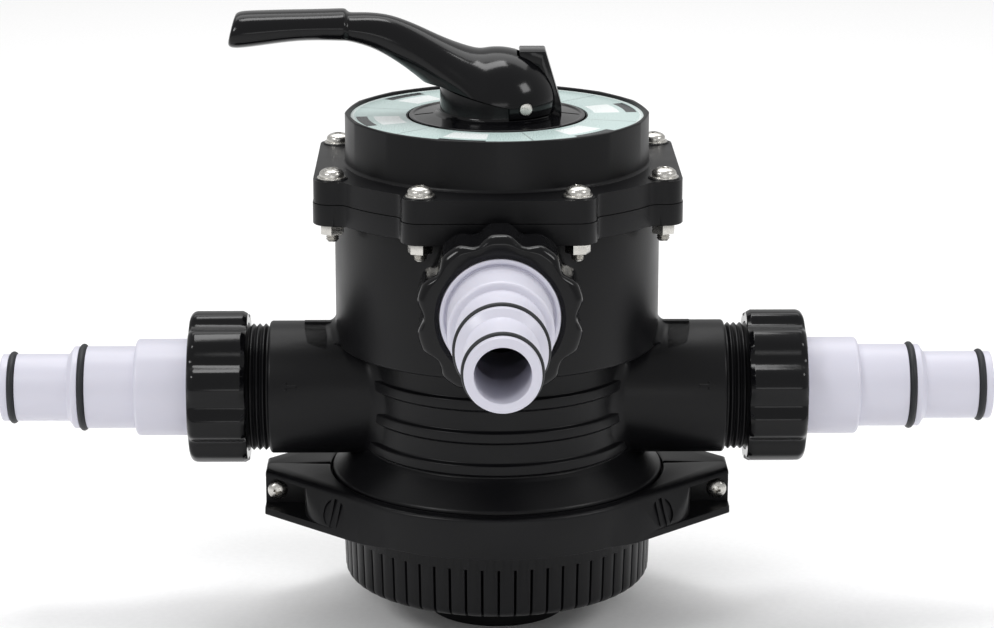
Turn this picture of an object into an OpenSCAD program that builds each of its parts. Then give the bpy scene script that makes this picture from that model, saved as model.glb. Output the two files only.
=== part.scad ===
// Six-way multiport valve for a pool sand filter, top mounted with a two-half tank clamp.
// Origin: centre of the standpipe socket's bottom mouth. +Z is the selector axis, upwards.
// -Y is the front port, -X is the side the lever points to at rest.

/* [Valve body] */
// Outer radius of the upper chamber
chamber_r = 76.1; // [68:0.1:92]
// Wall of the upper chamber
chamber_wall = 5; // [4:0.1:7]
// Height of the upper chamber, from its ledge to the underside of its flange
chamber_h = 65; // [62:0.5:80]
// Outer radius of the ribbed lower shell
shell_r = 63; // [56:0.5:68]
// Height of the lower shell, from the base flange to the chamber's ledge
shell_h = 66; // [62:0.5:80]
// Wall of the lower shell
shell_wall = 5.5; // [4:0.1:7]
// How far the three ribs stand out of the lower shell
rib_out = 2; // [1:0.1:3]
// Height of one rib
rib_h = 4.8; // [3:0.1:6]
// Length of the standpipe neck below the base flange
neck_len = 60.5; // [50:0.5:75]
// Outer radius of the standpipe neck
neck_r = 33; // [31:0.1:36]
// Radius of the standpipe socket, for a 50 mm pipe
socket_r = 25.2; // [24:0.1:27]
// Depth of the standpipe socket
socket_depth = 30; // [22:0.5:40]
// Radius of the flange that the tank clamp holds
base_flange_r = 83; // [80:0.5:96]
// Thickness of the base flange
base_flange_t = 7.5; // [5:0.1:9]

/* [Cover] */
// Thickness of the chamber flange
chamber_flange_t = 10; // [7:0.5:12]
// Thickness of the cover flange
cover_flange_t = 10.5; // [7:0.5:12]
// Radius of a bolt lobe
lobe_r = 8.8; // [8:0.1:12]
// Distance of the bolts outside the upper chamber
bolt_out = 9.4; // [8.8:0.1:12]
// Angle of the bolts beside the side ports, from the X axis
bolt_angle_side = 27.85; // [24:0.05:30]
// Angle of the bolts beside the front port, from the X axis
bolt_angle_front = 65.8; // [60:0.05:68]
// How far the cover's wall stands inside the chamber's outside
cover_in = 5.25; // [4:0.05:9]
// Height of the cover's wall above its flange
cover_wall_h = 23.1; // [20:0.1:30]
// Thickness of the cover's wall and roof
cover_wall = 5; // [4:0.1:6]
// Gap around the index collar in the cover's central recess
recess_gap = 0.6; // [0.4:0.1:2]

/* [Ports] */
// Height of the side ports above the base flange's underside
side_port_h = 49.1; // [46:0.1:52]
// Distance of the front port below the top of the chamber flange
front_port_drop = 33.4; // [33:0.1:36]
// Length of a side port outside the lower shell
side_port_out = 72; // [66:0.5:88]
// Length of the front port outside the upper chamber
front_port_out = 36.8; // [35:0.1:46]
// Outer radius of a port's tube
port_tube_r = 31.5; // [31:0.1:33]
// Outer radius of a port's thread
port_thread_r = 30.2; // [29.5:0.1:31]
// Pitch of a port's thread
port_thread_pitch = 2.9; // [2:0.1:4]
// Length of the threaded end of a port
port_thread_len = 27.4; // [24:0.1:30]
// Radius of the water way in a port
port_bore_r = 20; // [16:0.5:22]

/* [Unions] */
// Radius over the union nut's lobes
nut_r = 36.7; // [36:0.1:40]
// Depth of the scallops between the lobes
nut_scallop = 3.4; // [1:0.1:3.8]
// Number of lobes
nut_lobes = 10; // [8:1:12]
// Length of the union nut
nut_len = 27.4; // [24:0.1:32]
// Radius of the hole in the union nut's face
nut_hole_r = 26.7; // [26:0.1:28]
// Thickness of the union nut's face
nut_face_t = 5.2; // [4:0.1:7]

/* [Hose tails] */
// Radius of the tail's end, for a 32 mm hose
tail_r1 = 16; // [14:0.1:17]
// Length of the 32 mm end
tail_len1 = 32.4; // [26:0.1:40]
// Radius of the tail's middle step, for a 38 mm hose
tail_r2 = 19.55; // [18.5:0.05:21]
// Length of the middle step
tail_len2 = 31.4; // [26:0.1:40]
// Radius of the tail's inner step
tail_r3 = 23; // [22:0.1:25]
// Length of the inner step
tail_len3 = 25.7; // [20:0.1:32]
// Wall of the tail at its end, around the water way
tail_wall = 4.2; // [3.4:0.1:5.2]
// Thickness of the O-rings on the tail
tail_ring_d = 3.3; // [2.6:0.1:3.6]

/* [Selector] */
// Radius of the rotor's stem
stem_r = 18.5; // [17:0.1:19]
// Half thickness of the stem's flattened head
stem_flat = 10; // [8:0.1:11]
// Radius of the index collar's disc
collar_r = 41; // [38:0.1:41]
// Radius of the index collar's hub
hub_r = 26.5; // [25:0.1:27]
// Half thickness of the index collar's fin
fin_half = 8; // [5:0.1:9]
// Radius of the lever's round hub
bulb_r = 28; // [27.5:0.1:29]
// Height of the lever's round hub above its centre
bulb_h = 24.3; // [23.5:0.1:29]
// Radius of the lever's pin
pin_r = 3; // [2.5:0.1:3.5]
// Distance of the pin from the selector axis
pin_offset = 12.9; // [11:0.1:13]
// Length of the lever, from the selector axis to the grip's end
lever_len = 124.5; // [104:0.5:155]
// Angle that the lever turns through when it is pressed
press_deg = 10; // [8:0.1:12]

/* [Tank clamp] */
// Wall of the clamp's ring outside the base flange
clamp_wall = 3.3; // [2.8:0.1:5]
// Thickness of the clamp's two lips
clamp_lip = 3.5; // [2.5:0.1:4.5]
// How far the clamp's ears stand out of its ring
ear_out = 24; // [22:0.1:25]
// Thickness of the tank flange that the clamp closes on
tank_flange_t = 5; // [4:0.1:6]

/* [Diffuser] */
// Outer radius of the slotted diffuser
diffuser_r = 73.5; // [66:0.5:75]
// Height of the diffuser's bottom above the socket's mouth
diffuser_z = 18.6; // [14:0.1:24]
// Wall of the diffuser
diffuser_wall = 3; // [2:0.1:4]
// Number of slots in the diffuser
diffuser_slots = 60; // [48:1:72]
// Width of one slot
slot_w = 1; // [0.6:0.1:1.6]

/* [Fasteners and seals] */
// Radius of the cover screws, M6
screw_r = 3; // [2.5:0.1:3]
// Radius of a pan head
screw_head_r = 5.6; // [5:0.1:6]
// Height of a pan head
screw_head_h = 4; // [3:0.1:5]
// Width across flats of a nut
nut_af = 10; // [8:0.1:10]
// Height of a nut
nut_h = 5; // [4:0.1:6]
// Thickness of the cover's O-ring
cover_ring_d = 4; // [3:0.1:4.4]

/* [Hidden] */
$fn = 96;

// Overcut that carries a cut past the face it starts on
e = 1;
// Gap between pieces that only stand side by side
gap = 0.3;
// Radial gap of the stem in the cover, a running fit
run_gap = 0.08;
// How much a ring is squeezed in its groove
squeeze = 0.1;
// Side play of a ring in its groove
groove_gap = 0.2;

// Radii and reaches that follow the chamber, the shell, the collar and the base flange
bolt_circle_r = chamber_r + bolt_out;
cover_r = chamber_r - cover_in;
recess_r = collar_r + recess_gap;
side_port_reach = shell_r + side_port_out;
front_port_reach = chamber_r + front_port_out;
clamp_r = base_flange_r + clamp_wall;
ear_reach = clamp_r + ear_out;
tail_bore_r = tail_r1 - tail_wall;

// Heights of the body
base_top_z = neck_len + base_flange_t;
ledge_z = base_top_z + shell_h;
flange_z = ledge_z + chamber_h;
flange_top_z = flange_z + chamber_flange_t;
shell_in_r = shell_r - shell_wall;
chamber_in_r = chamber_r - chamber_wall;
spider_t = 12;
spider_z = ledge_z + spider_t;
duct_r = socket_r - 1.7;
duct_wall = 5;
window_r0 = duct_r + 6.5;
window_r1 = shell_in_r - 0.5;
spoke_w = 8;
pipe_ring_d = 3;
pipe_ring_z = 9;
tank_ring_d = 4.2;
tank_ring_r = base_flange_r - 4.3;
cover_ring_r = chamber_in_r + 3.4;
flange_plate_r = bolt_circle_r - 0.2;
flange_flat_in = 0.1;
skirt_r = base_flange_r - 4.5;
skirt_h = 4.3;
flare_h = 12;

// Heights of the cover
cover_z = flange_top_z;
cover_flange_top_z = cover_z + cover_flange_t;
rim_z = cover_flange_top_z + cover_wall_h;
rim_wall = 2.45;
label_t = 0.8;
label_z = rim_z - 1.4;
roof_z = label_z - cover_wall;
recess_z = label_z - 2.3;
boss_r = stem_r + run_gap + 5.5;
boss_z = cover_z + 3;

// Selector
gasket_t = 2;
gasket_r = chamber_in_r - 2;
rotor_r = chamber_in_r - 4;
rotor_z = spider_z + gasket_t + 0.2;
rotor_plate_t = 6;
dome_r = window_r1;
dome_wall = 4;
dome_h = 24;
dome_top_z = rotor_z + rotor_plate_t + dome_h;
washer_t = 1.5;
washer_z = boss_z - washer_t;
spring_wire_r = 1.8;
spring_turns = 4.5;
spring_coil_r = stem_r + 5;
collar_z = recess_z + gap;
collar_top_z = collar_z + 2.2;
hub_foot_z = collar_top_z + 0.9;
// Pressing the lever rocks it on the hub's far edge, which lifts the pin and the rotor
lift = (pin_offset + hub_r) * press_deg * PI / 180;
flat_z = recess_z - lift - 0.5;
pin_z = hub_foot_z + 5.7;
stem_top_z = pin_z + pin_r + 4.2;
head_gap = 1.2;
head_side_gap = 1.5;
head_r = stem_r + head_side_gap;
stem_ring_d = 3;
stem_ring_z = [boss_z + 5, boss_z + 11];

// The lever rocks on the collar's far edge, so its underside slopes up from the pin's boss
rock_rise = 9;
boss_edge_x = pin_offset - 7.5;
under_z0 = pin_z + 1;
under_z1 = pin_z + rock_rise;
foot_z = hub_foot_z + 1.6;
bulb_z = pin_z + 0.7;
fin_x0 = stem_r + 0.9;
fin_x1 = hub_r + 3.3;
fin_top_x1 = fin_x1 - 7.5;
fin_top_x0 = fin_top_x1 - 12;
fin_top_z = pin_z + 24.2;
fin_step_z = stem_top_z + lift + 1.2;

// Ports: name, turn about Z, height, reach
side_z = neck_len + side_port_h;
front_z = flange_top_z - front_port_drop;
PORTS = [["left", 180, side_z, side_port_reach],
    ["right", 0, side_z, side_port_reach],
    ["front", -90, front_z, front_port_reach]];
tail_flange_t = 4.9;
tail_flange_r = port_thread_r - 0.6;
tail_shoulder_r = nut_hole_r - 0.4;
nut_start = nut_face_t + tail_flange_t + 0.2 - nut_len;
nut_end = nut_start + nut_len;
nut_thread_r = port_thread_r + gap;
scallop_r = 13.7;
port_ring_d = 3;
port_ring_r = (port_bore_r + port_thread_r) / 2;
step3_end = nut_end + tail_len3;
step2_end = step3_end + tail_len2;
step1_end = step2_end + tail_len1;
tail_ring_out = 1.2;
tail_ring_x = [step2_end - 6.2, step1_end - 5.3];
tail_ring_r = [tail_r2 + tail_ring_out - tail_ring_d / 2, tail_r1 + tail_ring_out - tail_ring_d / 2];
tail_groove_wall = 2.75;
tail_bore_r2 = tail_ring_r[0] + squeeze - tail_ring_d / 2 - tail_groove_wall;

// Clamp
clamp_z = neck_len - tank_flange_t - clamp_lip;
clamp_h = base_flange_t + tank_flange_t + 2 * clamp_lip;
ear_edge = clamp_r - 0.4;
ear_half_gap = 0.4;
ear_tip_y = sqrt(2) * ear_edge - ear_reach;
clamp_screw_x = ear_reach - 5.6;
clamp_screw_z = clamp_z + clamp_h / 2 - 0.3;
pocket_x = clamp_screw_x - 12;
pocket_y = 9.5;
pocket_wall = 3;

// Bolts: every angle of the cover's pattern
BOLT_ANGLES = [for (quarter = [0, 180]) for (a = [bolt_angle_side, bolt_angle_front,
    180 - bolt_angle_front, 180 - bolt_angle_side]) quarter + a];
cover_washer_t = 1.2;
cover_washer_r = 6.6;
head_z = cover_flange_top_z + cover_washer_t;
bolt_end_z = flange_z - nut_h - 3.5;

module at_port(i) {
    translate([0, 0, PORTS[i][2]]) rotate([0, 0, PORTS[i][1]])
        translate([PORTS[i][3], 0, 0]) rotate([0, 90, 0]) children();
}

module at_bolts(z) {
    for (a = BOLT_ANGLES) rotate([0, 0, a]) translate([bolt_circle_r, 0, z]) children();
}

module tube(r_out, r_in, z0, z1) {
    translate([0, 0, z0]) difference() {
        cylinder(r = r_out, h = z1 - z0);
        translate([0, 0, -e]) cylinder(r = r_in, h = z1 - z0 + 2 * e);
    }
}

module torus(r, d, z) {
    translate([0, 0, z]) rotate_extrude() translate([r, 0]) circle(d = d, $fn = 32);
}

module hexagon(af, h) {
    cylinder(d = af / cos(30), h = h, $fn = 6);
}

module pan_screw(shank_len, head_h, head_r) {
    translate([0, 0, -shank_len]) cylinder(r = screw_r, h = shank_len + head_h / 2, $fn = 32);
    difference() {
        union() {
            cylinder(r = head_r, h = 0.6 * head_h, $fn = 48);
            translate([0, 0, 0.6 * head_h]) cylinder(r1 = head_r, r2 = 0.6 * head_r, h = 0.4 * head_h, $fn = 48);
        }
        for (turn = [0, 90]) rotate([0, 0, turn]) translate([-2.8, -0.6, 0.5 * head_h])
            cube([5.6, 1.2, head_h]);
    }
}

// The lobed outline that the body and the cover share
module flange_outline() {
    circle(r = flange_plate_r);
    for (a = BOLT_ANGLES) rotate(a) translate([bolt_circle_r, 0]) circle(r = lobe_r);
    // Straight edges across the front and back, and beside the side ports
    flat = lobe_r - flange_flat_in;
    square([2 * bolt_circle_r * cos(bolt_angle_front), 2 * (bolt_circle_r * sin(bolt_angle_front) + flat)], center = true);
    square([2 * (bolt_circle_r * cos(bolt_angle_side) + flat), 2 * bolt_circle_r * sin(bolt_angle_side)], center = true);
}

// Six wedge windows between spokes, as in the spider plate and its gasket
module windows(r0, r1, spoke) {
    difference() {
        circle(r = r1);
        circle(r = r0);
        for (a = [30, 90, 150]) rotate(a) translate([-r1 - e, -spoke / 2]) square([2 * (r1 + e), spoke]);
    }
}

module port_outside(i) {
    at_port(i) {
        translate([0, 0, -port_thread_len]) cylinder(r = port_thread_r, h = port_thread_len);
        translate([0, 0, -PORTS[i][3] + shell_in_r])
            cylinder(r = port_tube_r, h = PORTS[i][3] - shell_in_r - port_thread_len);
    }
}

module port_inside(i, inner_r) {
    at_port(i) {
        translate([0, 0, inner_r - 2 - PORTS[i][3]]) cylinder(r = port_bore_r, h = PORTS[i][3] - inner_r + 2 + e);
        for (n = [0:2]) translate([0, 0, -port_thread_len + (n + 0.4) * port_thread_pitch])
            tube(port_thread_r + e, port_thread_r - 1.5, 0, port_thread_pitch / 2);
        tube(port_ring_r + port_ring_d / 2 + groove_gap, port_ring_r - port_ring_d / 2 - groove_gap,
            squeeze - port_ring_d, e);
    }
}

module valve_body() color("#1b1c1e") difference() {
    union() {
        difference() {
            body_outside();
            body_hollows();
        }
        body_ducts();
    }
    port_inside(0, shell_in_r);
    port_inside(1, shell_in_r);
    port_inside(2, chamber_in_r);
    translate([0, 0, -e]) cylinder(r = duct_r, h = spider_z + 2 * e);
    translate([0, 0, -e]) cylinder(r = socket_r, h = socket_depth + e);
    tube(socket_r + pipe_ring_d, socket_r - e, pipe_ring_z - pipe_ring_d / 2 - 0.1, pipe_ring_z + pipe_ring_d / 2 + 0.1);
    torus(tank_ring_r, tank_ring_d, neck_len + 0.6);
    at_bolts(flange_z - e) cylinder(r = screw_r + gap, h = chamber_flange_t + 2 * e, $fn = 32);
    tube(cover_ring_r + cover_ring_d / 2 + groove_gap, cover_ring_r - cover_ring_d / 2 - groove_gap,
        flange_top_z + squeeze - cover_ring_d, flange_top_z + e);
}

module body_outside() {
    cylinder(r = neck_r, h = neck_len + e);
    translate([0, 0, neck_len]) cylinder(r = base_flange_r, h = base_flange_t);
    translate([0, 0, base_top_z]) cylinder(r = skirt_r, h = skirt_h);
    translate([0, 0, base_top_z + skirt_h]) cylinder(r1 = skirt_r, r2 = shell_r, h = flare_h);
    translate([0, 0, base_top_z]) cylinder(r = shell_r, h = shell_h + e);
    for (n = [1:3]) translate([0, 0, base_top_z + n * 0.236 * shell_h + 1.8])
        cylinder(r = shell_r + rib_out, h = rib_h);
    translate([0, 0, ledge_z]) cylinder(r = chamber_r, h = chamber_h + e);
    translate([0, 0, flange_z]) linear_extrude(chamber_flange_t) flange_outline();
    for (i = [0:2]) port_outside(i);
}

module body_hollows() {
    translate([0, 0, base_top_z]) cylinder(r = shell_in_r, h = shell_h);
    translate([0, 0, spider_z]) cylinder(r = chamber_in_r, h = flange_top_z - spider_z + e);
    translate([0, 0, ledge_z - e]) linear_extrude(spider_t + 2 * e) windows(window_r0, window_r1, spoke_w);
    // Water ways from the two tank sectors down into the diffuser
    translate([0, 0, neck_len - e]) linear_extrude(base_flange_t + 2 * e) difference() {
        circle(r = shell_in_r - 2);
        circle(r = neck_r + 2);
        for (side = [-1, 1]) translate([side * shell_in_r, 0]) square([1.3 * shell_in_r, 3 * shell_in_r], center = true);
    }
}

module body_ducts() {
    translate([0, 0, neck_len]) cylinder(r = duct_r + duct_wall, h = ledge_z - neck_len + e);
    for (a = [-30, 30, 150, 210]) rotate([0, 0, a])
        translate([duct_r + 2, -duct_wall / 2, base_top_z - e])
            cube([shell_r - duct_r - 4, duct_wall, shell_h + 2 * e]);
}

module spider_gasket() color("#2a2a2c") translate([0, 0, spider_z]) linear_extrude(gasket_t) difference() {
    circle(r = gasket_r);
    circle(r = duct_r + 0.5);
    windows(window_r0 + 0.5, window_r1 - 0.5, spoke_w - 1);
}

module rotor() color("#3a3b3e") difference() {
    union() {
        translate([0, 0, rotor_z]) cylinder(r = rotor_r, h = rotor_plate_t);
        translate([0, 0, rotor_z + rotor_plate_t - e]) intersection() {
            cylinder(r = dome_r, h = dome_h + e);
            translate([-dome_r - e, -0.4 * dome_r, -e]) cube([2 * dome_r + 2 * e, 2 * dome_r, dome_h + 3 * e]);
        }
        translate([0, 0, dome_top_z - dome_wall]) cylinder(r = spring_coil_r + 4, h = dome_wall);
        translate([0, 0, rotor_z + 1]) cylinder(r = stem_r, h = stem_top_z - rotor_z - 1);
    }
    // The dome's hollow links the standpipe to one port
    translate([0, 0, rotor_z - e]) difference() {
        intersection() {
            cylinder(r = dome_r - dome_wall, h = dome_h + rotor_plate_t - dome_wall + e);
            translate([-dome_r, -0.4 * dome_r + dome_wall, -e])
                cube([2 * dome_r, 1.4 * dome_r - dome_wall, dome_h + rotor_plate_t]);
        }
        translate([0, 0, -e]) cylinder(r = stem_r, h = dome_h + rotor_plate_t + 3 * e);
    }
    // The open window that lets the pump's water down past the dome
    translate([0, 0, rotor_z - e]) linear_extrude(rotor_plate_t + 2 * e) intersection() {
        windows(window_r0, window_r1, spoke_w);
        translate([-0.35 * dome_r, -dome_r - e]) square([0.7 * dome_r, 0.55 * dome_r]);
    }
    for (side = [-1, 1]) translate([-stem_r - e, side > 0 ? stem_flat : -stem_flat - stem_r, flat_z])
        cube([2 * (stem_r + e), stem_r, stem_top_z - flat_z + e]);
    for (z = stem_ring_z) tube(stem_r + e, stem_r - stem_ring_d + squeeze, z - stem_ring_d / 2, z + stem_ring_d / 2);
    translate([pin_offset, 0, pin_z]) rotate([90, 0, 0])
        cylinder(r = pin_r + 0.02, h = 2 * (stem_r + e), center = true, $fn = 48);
}

module stem_o_rings() color("#222224")
    for (z = stem_ring_z) torus(stem_r - stem_ring_d / 2 + run_gap / 2, stem_ring_d, z);

// A point on the spring's wire: along the coil by t turns, around the wire by a degrees
function coil_point(t, a) = let (
    r = spring_coil_r + spring_wire_r * cos(a),
    pitch = (washer_z - dome_top_z - 2 * spring_wire_r - 0.2) / spring_turns)
    [r * cos(360 * t), r * sin(360 * t),
        dome_top_z + 0.1 + spring_wire_r + pitch * t + spring_wire_r * sin(a)];

module rotor_spring() color("#b9bcc0") {
    steps = 24 * spring_turns;
    sides = 8;
    points = [for (s = [0:steps]) for (k = [0:sides - 1]) coil_point(s / 24, -360 * k / sides)];
    walls = [for (s = [0:steps - 1]) for (k = [0:sides - 1])
        [s * sides + k, s * sides + (k + 1) % sides, (s + 1) * sides + (k + 1) % sides, (s + 1) * sides + k]];
    ends = [[for (k = [0:sides - 1]) sides - 1 - k], [for (k = [0:sides - 1]) steps * sides + k]];
    polyhedron(points, concat(walls, ends), convexity = 8);
}

module spring_washer() color("#d9d9d6") tube(spring_coil_r + 4, stem_r + 0.5, washer_z, boss_z);

module cover_o_ring() color("#222224")
    torus(cover_ring_r, cover_ring_d, flange_top_z - cover_ring_d / 2 + squeeze);

module top_cover() color("#1b1c1e") difference() {
    union() {
        difference() {
            union() {
                translate([0, 0, cover_z]) linear_extrude(cover_flange_t) flange_outline();
                translate([0, 0, cover_z]) cylinder(r = cover_r, h = rim_z - cover_z);
            }
            translate([0, 0, cover_z - e]) cylinder(r = cover_r - cover_wall, h = roof_z - cover_z + e);
        }
        translate([0, 0, boss_z]) cylinder(r = boss_r, h = roof_z - boss_z + e);
    }
    translate([0, 0, label_z - label_t]) cylinder(r = cover_r - rim_wall, h = rim_z - label_z + label_t + e);
    translate([0, 0, recess_z]) cylinder(r = recess_r, h = rim_z - recess_z);
    translate([0, 0, boss_z - e]) cylinder(r = stem_r + run_gap, h = rim_z - boss_z + 2 * e);
    at_bolts(cover_z - e) cylinder(r = screw_r + gap, h = cover_flange_t + 2 * e, $fn = 32);
}

module position_label() color("#c8d8d5")
    tube(cover_r - rim_wall - 0.1, recess_r + 0.4, label_z - label_t, label_z);

module index_collar() color("#151517") difference() {
    union() {
        translate([0, 0, collar_z]) cylinder(r = collar_r, h = collar_top_z - collar_z);
        translate([0, 0, collar_top_z]) cylinder(r1 = collar_r - 3, r2 = hub_r + 1, h = hub_foot_z - collar_top_z);
        difference() {
            translate([0, 0, collar_z]) cylinder(r = hub_r, h = under_z1 - collar_z);
            collar_slope();
        }
        fin();
    }
    // The two flats of the stem slide up through this hole and turn with it
    intersection() {
        translate([0, 0, collar_z - e]) cylinder(r = stem_r + gap, h = under_z1);
        translate([-stem_r - e, -stem_flat - gap, collar_z - 2 * e])
            cube([2 * (stem_r + e), 2 * (stem_flat + gap), under_z1]);
    }
    // Index marks on the disc, under the lever and opposite it
    for (side = [-1, 1]) translate([side * (hub_r + collar_r) / 2 + side * 0.5 - 4.5, -0.8, collar_top_z - 0.6])
        cube([9, 1.6, 4]);
}

// Everything above the sloping top of the collar's hub, kept clear of the lever's underside
module collar_slope() {
    drop = 0.35;
    rotate([90, 0, 0]) linear_extrude(4 * hub_r, center = true) polygon([
        [-hub_r - e, under_z1 - drop], [boss_edge_x - gap, under_z0 - drop],
        [boss_edge_x - gap, foot_z - 0.8], [hub_r + e, foot_z - 0.8],
        [hub_r + e, under_z1 + 30], [-hub_r - e, under_z1 + 30]]);
}

// The upright fin that fills the slot in the lever's hub
module fin() {
    rotate([90, 0, 0]) linear_extrude(2 * fin_half, center = true) polygon([
        [fin_x0, collar_z + 0.5], [fin_x1, collar_z + 0.5], [fin_top_x1, fin_top_z],
        [fin_top_x0, fin_top_z], [fin_top_x0, fin_step_z], [fin_x0, fin_step_z]]);
}

// One cross-section of the lever: two balls side by side
module lever_station(x, z, r, half_w) {
    for (side = [-1, 1]) translate([x, side * (half_w - r), z]) sphere(r = r, $fn = 24);
}

// The lever's centre line, from the hub to the grip's end: share of length, rise above the pin, radius, half width
LEVER = [[0.12, 13, 11.5, 18], [0.25, 19.5, 11.5, 15], [0.35, 27.1, 9.6, 12.5], [0.46, 32.7, 6.6, 11.5],
    [0.58, 35.4, 5.7, 11.5], [0.76, 35.1, 5.6, 12], [0.95, 33.9, 6.3, 12.6]];

module handle() color("#141416") difference() {
    union() {
        translate([0, 0, bulb_z]) scale([1, 1, bulb_h / bulb_r]) sphere(r = bulb_r);
        for (i = [0:len(LEVER) - 2]) hull() for (s = [LEVER[i], LEVER[i + 1]])
            lever_station(-s[0] * lever_len, pin_z + s[1], s[2], s[3]);
    }
    // Underside: sloping over the collar, low around the pin
    rotate([90, 0, 0]) linear_extrude(4 * bulb_r, center = true) polygon([
        [-hub_r - 20, under_z1 + 0.2], [-hub_r, under_z1], [boss_edge_x, under_z0], [boss_edge_x, foot_z],
        [2 * bulb_r, foot_z], [2 * bulb_r, foot_z - 2 * bulb_r], [-2 * bulb_r, foot_z - 2 * bulb_r]]);
    // Pocket for the stem's head. Its roof slopes up away from the pin, because that end drops when pressed
    rotate([90, 0, 0]) linear_extrude(2 * (stem_flat + gap), center = true) polygon([
        [-head_r, foot_z - bulb_r], [head_r, foot_z - bulb_r], [head_r, stem_top_z + head_gap],
        [pin_offset, stem_top_z + head_gap],
        [-head_r, stem_top_z + head_gap + (pin_offset + head_r) * tan(press_deg)]]);
    // Slot for the fin
    translate([fin_top_x0 - 1.2, -fin_half - gap, stem_top_z - 6]) cube([3 * bulb_r, 2 * (fin_half + gap), 2 * bulb_r]);
    translate([fin_x0 - 1.5, -fin_half - gap, foot_z - e]) cube([2 * bulb_r, 2 * (fin_half + gap), 2 * bulb_r]);
    translate([pin_offset, 0, pin_z]) rotate([90, 0, 0])
        cylinder(r = pin_r + 0.05, h = 4 * bulb_r, center = true, $fn = 48);
}

module handle_pin() color("#c9cbce") {
    half = sqrt(bulb_r * bulb_r - pin_offset * pin_offset) - 1.2;
    translate([pin_offset, 0, pin_z]) rotate([90, 0, 0]) cylinder(r = pin_r, h = 2 * half, center = true, $fn = 48);
}

module cover_screws() color("#c3c5c8") at_bolts(head_z)
    pan_screw(head_z - bolt_end_z, screw_head_h, screw_head_r);

module cover_washers() color("#c3c5c8") at_bolts(0)
    tube(cover_washer_r, screw_r, cover_flange_top_z, head_z);

module cover_nuts() color("#c3c5c8") at_bolts(flange_z - nut_h) difference() {
    rotate([0, 0, 30]) hexagon(nut_af, nut_h);
    translate([0, 0, -e]) cylinder(r = screw_r, h = nut_h + 2 * e, $fn = 32);
}

module union_nut(i) color("#18191b") at_port(i) translate([0, 0, nut_start]) difference() {
    intersection() {
        linear_extrude(nut_len) difference() {
            circle(r = nut_r);
            for (n = [0:nut_lobes - 1]) rotate((n + 0.5) * 360 / nut_lobes)
                translate([nut_r - nut_scallop + scallop_r, 0]) circle(r = scallop_r, $fn = 64);
        }
        union() {
            cylinder(r = nut_r + e, h = nut_len - 5);
            translate([0, 0, nut_len - 5]) cylinder(r1 = nut_r + e, r2 = nut_r - 5, h = 5);
        }
    }
    translate([0, 0, -e]) cylinder(r = nut_thread_r, h = nut_len - nut_face_t + e);
    translate([0, 0, -e]) cylinder(r = nut_hole_r, h = nut_len + 2 * e);
}

module hose_tail(i) color("#e2e2ea") at_port(i) rotate_extrude() difference() {
    polygon([[port_bore_r - 2, 0], [tail_flange_r, 0], [tail_flange_r, tail_flange_t],
        [tail_shoulder_r, tail_flange_t], [tail_shoulder_r, nut_end - 0.4], [tail_shoulder_r - 1, nut_end],
        [tail_r3 + 1, nut_end - 0.8], [tail_r3, nut_end - 0.8], [tail_r3, step3_end - 2], [tail_r3 - 2, step3_end],
        [tail_r2, step3_end], [tail_r2, step2_end - 2.6], [tail_r1, step2_end],
        [tail_r1, step1_end - 0.8], [tail_r1 - 0.8, step1_end], [tail_bore_r, step1_end],
        [tail_bore_r, step2_end - 2], [tail_bore_r2, step2_end - 6], [tail_bore_r2, step3_end - 3],
        [port_bore_r - 2, step3_end - 8]]);
    for (n = [0, 1]) translate([tail_ring_r[n] + squeeze, tail_ring_x[n]])
        square([tail_ring_d, tail_ring_d + groove_gap], center = true);
}

module union_o_ring(i) color("#222224") at_port(i) torus(port_ring_r, port_ring_d, squeeze - port_ring_d / 2);

module hose_o_rings(i) color("#2b2d30") at_port(i)
    for (n = [0, 1]) torus(tail_ring_r[n], tail_ring_d, tail_ring_x[n]);

// One ear seen from above, its front edge running out from the ring at 45 degrees
module ear_outline() {
    polygon([[ear_edge / 2, 0], [ear_edge / sqrt(2), -ear_edge / sqrt(2)],
        [ear_reach, -ear_tip_y], [ear_reach, 5], [ear_edge / 2, 5]]);
}

// The front half of the clamp; the rear half is its mirror image
module clamp_half() difference() {
    translate([0, 0, clamp_z]) {
        cylinder(r = clamp_r, h = clamp_h);
        linear_extrude(clamp_h) ear_outline();
        mirror([1, 0, 0]) linear_extrude(clamp_h) ear_outline();
    }
    translate([-2 * ear_reach, -ear_half_gap, clamp_z - e]) cube([4 * ear_reach, 2 * ear_reach, clamp_h + 2 * e]);
    // Channel for the body's flange and the tank's flange
    translate([0, 0, clamp_z + clamp_lip])
        cylinder(r = base_flange_r + 0.1, h = clamp_h - 2 * clamp_lip);
    translate([0, 0, clamp_z - e]) cylinder(r = skirt_r + 0.6, h = clamp_h + 2 * e);
    for (side = [-1, 1]) {
        mirror([side < 0 ? 1 : 0, 0, 0]) translate([pocket_x, -pocket_y - 40, clamp_z + pocket_wall])
            cube([40, 40, clamp_h - 2 * pocket_wall]);
        translate([side * clamp_screw_x, 0, clamp_screw_z]) rotate([90, 0, 0])
            cylinder(r = screw_r + gap, h = 40, $fn = 32);
    }
}

module clamp_front_half() color("#1b1c1e") clamp_half();

module clamp_rear_half() color("#1b1c1e") mirror([0, 1, 0]) clamp_half();

module clamp_screws() color("#c3c5c8") for (side = [-1, 1])
    translate([side * clamp_screw_x, -pocket_y, clamp_screw_z]) rotate([90, 0, 0])
        pan_screw(2 * pocket_y + nut_h + 3, screw_head_h, screw_head_r - 0.9);

module clamp_nuts() color("#c3c5c8") for (side = [-1, 1])
    translate([side * clamp_screw_x, pocket_y + nut_h, clamp_screw_z]) rotate([90, 0, 0]) difference() {
        hexagon(nut_af, nut_h);
        translate([0, 0, -e]) cylinder(r = screw_r, h = nut_h + 2 * e, $fn = 32);
    }

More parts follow.
